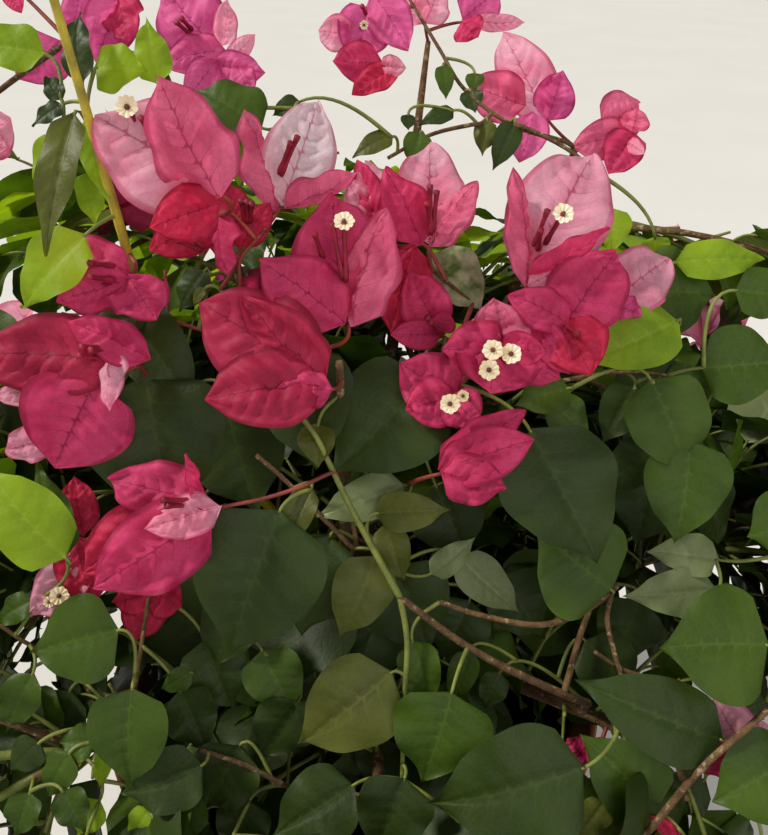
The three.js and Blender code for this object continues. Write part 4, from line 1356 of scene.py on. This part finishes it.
wanted = []
for i, ((u, v), depth_mm, bract_rows, tube_rows) in enumerate(PLACED_BLOOMS):
    base = seen_at(u, v, depth_mm / 1000)
    ways = []
    for j, row in enumerate(bract_rows):
        root, tip = place_bract(*row, depth_mm / 1000 - BRACT_STEP * j, 7000 + 10 * i + j)
        ways.append((tip - root).normalized())
    for j, row in enumerate(tube_rows):
        place_tube(*row, depth_mm / 1000, 7500 + 10 * i + j)
    way = sum(ways, Vector()).normalized()
    wanted.append({"root": base, "way": way, "kind": "bloom", "key": 7000 + i})


def edge_leaves():
    """Leaves just outside the picture, below it and beside it, carrying the foliage on past its edge."""
    rows = []
    for i in range(EDGE_LEAVES_BELOW):
        u = -60 + 34 * i + 20 * chance(i, 110)
        v = 850 + 48 * (i % 2) + 16 * chance(i, 111)
        depth = 286 - 16 * (i % 2) + 8 * chance(i, 112)
        tone = "dark" if chance(i, 113) < 0.6 else "mid"
        rows.append((u, v, u + 90 * (chance(i, 114) - 0.5), v + 66, 66 + 14 * chance(i, 115), tone, depth))
    for i in range(EDGE_LEAVES_BESIDE):
        hand = 1 if i % 2 else -1
        u = PICTURE_MIDDLE[0] + hand * (PICTURE_MIDDLE[0] + 34)
        v = 430 + 30 * i + 16 * chance(i, 116)
        # Some lime on the left, the side the sun comes from: painted sunlight.
        tone = "lime" if hand < 0 and chance(i, 117) < 0.3 else "mid"
        tip_down = v + 60 * (chance(i, 118) - 0.2)
        rows.append((u, v, u + 70 * hand, tip_down, 60, tone, 302 + 14 * chance(i, 119)))
    return rows


for i, (u1, v1, u2, v2, width, tone, depth) in enumerate(PLACED_LEAVES + edge_leaves()):
    key = 8000 + i
    root = seen_at(u1, v1, depth / 1000)
    tip = seen_at(u2, v2, depth / 1000 + 0.006 * (chance(key, 1) - 0.4))
    way = (tip - root).normalized()
    face = -AWAY + UP * 0.3 + RIGHT * 0.5 * (chance(key, 2) - 0.5) + DOWN * 0.4 * (chance(key, 3) - 0.5)
    calm, width = min(1, width / 60), 1.08 * width * depth / 1000 / PICTURE_SCALE
    leaf_between(
        leaves, TONE_NAMES, FINE_LEAF, root, tip, face, width, tone, chance(key, 4),
        curl=0.35 + 0.5 * chance(key, 5), fold=0.1 + 0.2 * chance(key, 6), cup=0.2 * chance(key, 7),
        wave=calm * (0.0008 + 0.0014 * chance(key, 8)), bend=0.16 * (chance(key, 9) - 0.5),
        phase=chance(key, 10),
    )
    wanted.append({"root": root, "way": way, "kind": "leaf", "key": key})

# The nearest of those still loose is joined on first, and what it hangs from can then carry others
while wanted:
    offers = [(network.best(item["root"], item["way"]), item) for item in wanted]
    (join, cost), item = min(offers, key=lambda offer: offer[0][1])
    wanted.remove(item)
    root, way = item["root"], item["way"]
    gap = (root - join).length
    line = Path([join, root - way * 0.4 * gap + AWAY * 0.08 * gap, root + way * 0.001], 16)
    thin, skin = (0.0006, GREEN) if item["kind"] == "leaf" else (0.0007, RED)
    if gap > LONG_JOIN:
        skin = BROWN
    tube(twigs, line, taper(thin * (1.2 + 12 * gap), thin), 7, 12, skin, chance(item["key"], 12))
    network.add(line, 8, 0.15)


def grow_shoots(line, key, count, start):
    """Short leafy shoots all round a limb, each turned by the golden angle from the one before."""
    for k in range(count):
        t = start + (1 - start) * (k + chance(key + k, 90)) / count
        point, forward = line.at(t), line.tangent(t)
        side = forward.cross(UP).normalized()
        turn = k * GOLDEN_ANGLE + key
        way = side * math.cos(turn) + side.cross(forward) * math.sin(turn) + forward * 0.5 + UP * 0.35
        end = point + way.normalized() * (0.035 + 0.035 * chance(key + k, 91))
        shoot = visible_part(Path([point, point.lerp(end, 0.5) + UP * 0.005, end], 12))
        if shoot is None or not clear_of_pot(end):
            continue
        tube(twigs, shoot, taper(*BRANCH_RADII), 5, 5, GREEN, chance(key + k, 92))
        grow_leaves(shoot, 17 * key + k, *SHOOT_LEAVES)


def grow_leaves_up(line, count):
    """Leaves along an upright shoot, each turned by the golden angle from the one below."""
    for k in range(count):
        t = 0.12 + 0.86 * k / (count - 1)
        point, forward = line.at(t), line.tangent(t)
        turn = k * GOLDEN_ANGLE
        along = Vector((math.cos(turn), math.sin(turn), 0.15 - 0.3 * chance(k, 95))).normalized()
        root = point + (along + forward * 0.5).normalized() * 0.011
        length = UPRIGHT_LEAF * (0.95 - 0.25 * t)
        tip = root + along * length
        if min(outside_picture(*seen_from_eye(p)[:2]) for p in (root, tip)) < 45:
            continue
        tone = TONE_NAMES.index(grown_tone(root, 40 + k))
        PLAIN_LEAF.add(
            leaves, tone, chance(k, 96), root, along, UP, length, 0.74 * length,
            curl=0.5 + 0.4 * chance(k, 97), fold=0.3, cup=0.1, wave=0.0015,
            bend=0.2 * (chance(k, 98) - 0.5),
        )
        petiole(point, root, along)


SHELL_TIPS = shell_tips(OUTER_TIPS, 1, 1) + shell_tips(INNER_TIPS, INNER_SHELL, 2)
SHELL_TIPS += shell_tips(FILL_TIPS, FILL_SHELL, 3)
placed_points = [seen_at(*row[0], row[1] / 1000) for row in PLACED_BLOOMS]
for mass in MASSES:
    stem_leaves = mass.get("stem_leaves", 0)
    radii, skin = (YOUNG_STEM_RADII, YOUNG) if stem_leaves else (STEM_RADII, BROWN)
    tube(twigs, mass["stem_line"], taper(*radii), 10, 12, skin)
    if stem_leaves:
        grow_leaves_up(mass["stem_line"], stem_leaves)
    grow_mass(mass, placed_points)
    grow_shoots(mass["bough"], 600 + 13 * MASSES.index(mass), BOUGH_SHOOTS, 0.12)
    if mass["name"] in RING_NAMES:
        grow_shoots(mass["stem_line"], 900 + 13 * MASSES.index(mass), STEM_SHOOTS, 0.05)


def trunk_radius(t, angles):
    """A flared and lobed foot, a taper with ridges, and a rounded top."""
    flare = math.exp(-9 * t)
    lobes = 1 + 0.22 * np.sin(ROOT_LOBES * angles) * flare
    rounded = math.sqrt(max(0.0, 1 - ((t - 0.9) / 0.105) ** 2)) if t > 0.9 else 1
    radius = (TRUNK_RADIUS + (TRUNK_TOP_RADIUS - TRUNK_RADIUS) * t) * rounded + ROOT_FLARE * flare
    ridges = 0.05 * np.sin(7 * angles + 9 * t) + 0.03 * np.sin(13 * angles - 17 * t + 1)
    ridges = ridges + 0.03 * np.sin(60 * t + 3 * angles)
    return radius * lobes * (1 + ridges * 0.7 * rounded)


def bough_radius(t, angles):
    """A taper, a little uneven."""
    radius = BOUGH_RADIUS + (BOUGH_TIP_RADIUS - BOUGH_RADIUS) * t
    return radius * (1 + 0.05 * np.sin(3 * angles + 11 * t) + 0.04 * np.sin(55 * t))


def young_radius(t, angles):
    return YOUNG_SHARE * bough_radius(t, angles)


tube(limbs, TRUNK, trunk_radius, 48, 110)
for mass in MASSES:
    young = "stem_leaves" in mass
    tube(limbs, mass["bough"], young_radius if young else bough_radius, 18, 48, 1 if young else 0)

for kind in (leaves, bracts, flowers, twigs, limbs):
    kind.build()


def lathe(name, profile, sides, material, ripple=None):
    """A turned piece from its profile: pairs of radius and height, from the axis round to the axis."""
    verts = [(0, 0, profile[0][1]), (0, 0, profile[-1][1])]
    rings = profile[1:-1]
    for r, z in rings:
        for k in range(sides):
            angle = 2 * math.pi * k / sides
            reach = r + (ripple(angle, z) if ripple else 0)
            verts.append((reach * math.cos(angle), reach * math.sin(angle), z))
    pile = Pile()
    pile.add(verts, *ring_faces(sides, len(rings), 2, 0, 1))
    return pile.build(name, [material])


def inner_radius(z):
    """The radius of the pot's inner wall at a height."""
    return FOOT_RADIUS - WALL + (RIM_RADIUS - 0.001 - FOOT_RADIUS) * z / POT_HEIGHT


def rounded_profile(corners, steps):
    """Points along straight runs between corners, close enough for throwing marks to show."""
    points = []
    for (r1, z1), (r2, z2) in zip(corners, corners[1:]):
        count = max(1, round(math.hypot(r2 - r1, z2 - z1) / steps))
        points += [(r1 + (r2 - r1) * i / count, z1 + (z2 - z1) * i / count) for i in range(count)]
    return points + [corners[-1]]


def terracotta_material():
    look = Look("terracotta", 0.88, 0.2)
    clouds = look.noise(14.0, 5.0)
    pale_marks = look.noise(26.0, 6.0, 0.56, 0.7)
    specks = look.noise(420.0, 2.0, 0.62, 0.7)
    layers = (clouds, (148, 82, 58)), (pale_marks, (196, 160, 136)), (specks, (120, 66, 48))
    look.paint((176, 104, 74), *layers)
    look.bump(look.noise(700.0, 4.0, 0.2, 0.8), 0.35, 0.0008)
    return look.material


def soil_material():
    look = Look("soil", 1.0, 0.1)
    clods = look.noise(160.0, 6.0)
    flecks = look.noise(520.0, 2.0, 0.64, 0.7)
    look.paint((70, 50, 36), (clods, (38, 27, 20)), (flecks, (150, 130, 104)))
    look.bump(clods, 0.8, 0.003)
    return look.material


RIM_FOOT = POT_HEIGHT - RIM_HEIGHT
POT_PROFILE = [
    (0, 0), (FOOT_RADIUS - 0.002, 0), (FOOT_RADIUS - 0.0006, 0.0006), (FOOT_RADIUS, 0.002),
    (RIM_RADIUS - RIM_STEP - 0.004, RIM_FOOT), (RIM_RADIUS - 0.003, RIM_FOOT + 0.0005),
    (RIM_RADIUS - 0.0018, RIM_FOOT + 0.002), (RIM_RADIUS, POT_HEIGHT - 0.004),
    (RIM_RADIUS - 0.001, POT_HEIGHT - 0.001),
    (RIM_RADIUS - 0.003, POT_HEIGHT), (RIM_RADIUS - WALL - 0.003, POT_HEIGHT),
    (inner_radius(POT_HEIGHT) - 0.0005, POT_HEIGHT - 0.002),
    (inner_radius(POT_HEIGHT) - 0.002, POT_HEIGHT - 0.006),
    (inner_radius(POT_FLOOR), POT_FLOOR), (0, POT_FLOOR),
]


def throwing_marks(angle, z):
    """The fine rings and the slight oval that the potter's wheel leaves."""
    return 0.00025 * math.sin(z * 900 + 0.7 * math.sin(angle)) + 0.0003 * math.sin(2 * angle + z * 30)


def drain_cutter(angle):
    bpy.ops.mesh.primitive_cylinder_add(
        radius=DRAIN_RADIUS, depth=3 * POT_FLOOR, vertices=32,
        location=(DRAIN_CIRCLE * math.cos(angle), DRAIN_CIRCLE * math.sin(angle), 0),
    )
    return bpy.context.object


profile = rounded_profile(POT_PROFILE, PROFILE_STEP)
pot = lathe("pot_shell", profile, POT_SIDES, terracotta_material(), throwing_marks)
for i in range(DRAIN_HOLES):
    cutter = drain_cutter(2 * math.pi * i / DRAIN_HOLES)
    cut = pot.modifiers.new("drain", "BOOLEAN")
    cut.operation, cut.solver, cut.object = "DIFFERENCE", "EXACT", cutter
    bpy.context.view_layer.objects.active = pot
    bpy.ops.object.modifier_apply(modifier=cut.name)
    bpy.data.objects.remove(cutter, do_unlink=True)
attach(pot, "root")
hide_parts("pot")


def soil_ground(x, y):
    """Height of the soil's top: highest in the middle, lumpy, and lower at the wall."""
    radius = math.hypot(x, y)
    lumps = 0.0022 * noise.noise(Vector((x * 60, y * 60, 0.3)))
    lumps += 0.0012 * noise.noise(Vector((x * 170, y * 170, 7)))
    return SOIL_TOP - 0.001 - 0.005 * max(0.0, radius - 0.055) / 0.06 + lumps


def ring_points(radius, sides):
    """Points round the axis at a radius: pairs of x and y."""
    angles = [2 * math.pi * k / sides for k in range(sides)]
    return [(radius * math.cos(angle), radius * math.sin(angle)) for angle in angles]


def make_soil():
    """The soil's top as rings of lumpy ground, its side and bottom against the pot, and crumbs on it."""
    rings, sides = SOIL_RINGS, SOIL_SIDES
    edge = inner_radius(SOIL_TOP) - SOIL_GAP
    verts = [(0, 0, soil_ground(0, 0))]
    for ring in range(1, rings + 1):
        verts += [(x, y, soil_ground(x, y)) for x, y in ring_points(edge * ring / rings, sides)]
    foot = POT_FLOOR + SEAT_GAP
    for r, z in ((inner_radius(0.1) - SOIL_GAP, 0.1), (inner_radius(POT_FLOOR) - SOIL_GAP, foot)):
        verts += [(x, y, z) for x, y in ring_points(r, sides)]
    verts.append((0, 0, foot))
    pile = Pile()
    pile.add(verts, *ring_faces(sides, rings + 2, 1, 0, len(verts) - 1, flipped=True))
    crumb = np.array([(1, 0, 0), (-1, 0, 0), (0, 1, 0), (0, -1, 0), (0, 0, 1), (0, 0, -1)])
    faces = [(0, 2, 4), (2, 1, 4), (1, 3, 4), (3, 0, 4), (2, 0, 5), (1, 2, 5), (3, 1, 5), (0, 3, 5)]
    for i in range(SOIL_CRUMBS):
        radius = edge * 0.97 * math.sqrt(chance(i, 80))
        angle = 2 * math.pi * chance(i, 81)
        x, y = radius * math.cos(angle), radius * math.sin(angle)
        size = 0.0009 + 0.0022 * chance(i, 82) ** 3
        wobble = np.array([1 + 0.7 * (chance(i, 83 + k) - 0.5) for k in range(6)])[:, None]
        at = np.array((x, y, soil_ground(x, y) + 0.3 * size))
        pile.add(crumb * wobble * size + at, None, faces)
    return pile.build("soil_bed", [soil_material()])


soil = make_soil()
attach(soil, "root")
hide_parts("soil")


def floor_material():
    look = Look("floor_pale", 0.9, 0.2)
    look.paint((214, 212, 208), (look.noise(3.0), (211, 209, 205)))
    return look.material


floor_mesh = bpy.data.meshes.new("studio_floor")
corners = [(x * FLOOR_REACH, y * FLOOR_REACH, 0) for x, y in ((-1, -1), (1, -1), (1, 1), (-1, 1))]
floor_mesh.from_pydata(corners, [], [(0, 1, 2, 3)])
floor_mesh.materials.append(floor_material())
floor = bpy.data.objects.new("studio_floor", floor_mesh)
bpy.context.scene.collection.objects.link(floor)


def area_light(name, place, target, size, power, colour):
    data = bpy.data.lights.new(name, "AREA")
    data.size, data.energy, data.color = size, power, colour
    light = bpy.data.objects.new(name, data)
    light.location = place
    light.rotation_euler = (Vector(target) - Vector(place)).to_track_quat("-Z", "Y").to_euler()
    bpy.context.scene.collection.objects.link(light)


sun_data = bpy.data.lights.new("key", "SUN")
sun_data.energy, sun_data.angle, sun_data.color = 3.4, math.radians(9), (1.0, 0.96, 0.88)
sun = bpy.data.objects.new("key", sun_data)
sun.rotation_euler = SUN_WAY.to_track_quat("Z", "Y").to_euler()
bpy.context.scene.collection.objects.link(sun)
area_light(
    "fill", place=(0.7, -1.5, 1.3), target=(0, 0, 0.35), size=1.6, power=13.5, colour=(1.0, 0.98, 0.95)
)

world = bpy.data.worlds.new("studio")
world.use_nodes = True
world.node_tree.nodes["Background"].inputs["Color"].default_value = (0.92, 0.92, 0.91, 1)
world.node_tree.nodes["Background"].inputs["Strength"].default_value = 0.45
bpy.context.scene.world = world

camera_data = bpy.data.cameras.new("camera")
camera_data.sensor_width = 36
camera_data.lens = 36 * PICTURE_SCALE / max(PICTURE_SIZE)
camera_data.clip_start = 0.01
camera = bpy.data.objects.new("camera", camera_data)
camera.location = EYE
camera.rotation_euler = (math.pi / 2 - LOOK_DOWN, 0, 0)
bpy.context.scene.collection.objects.link(camera)
bpy.context.scene.camera = camera
bpy.context.scene.view_settings.view_transform = "Standard"
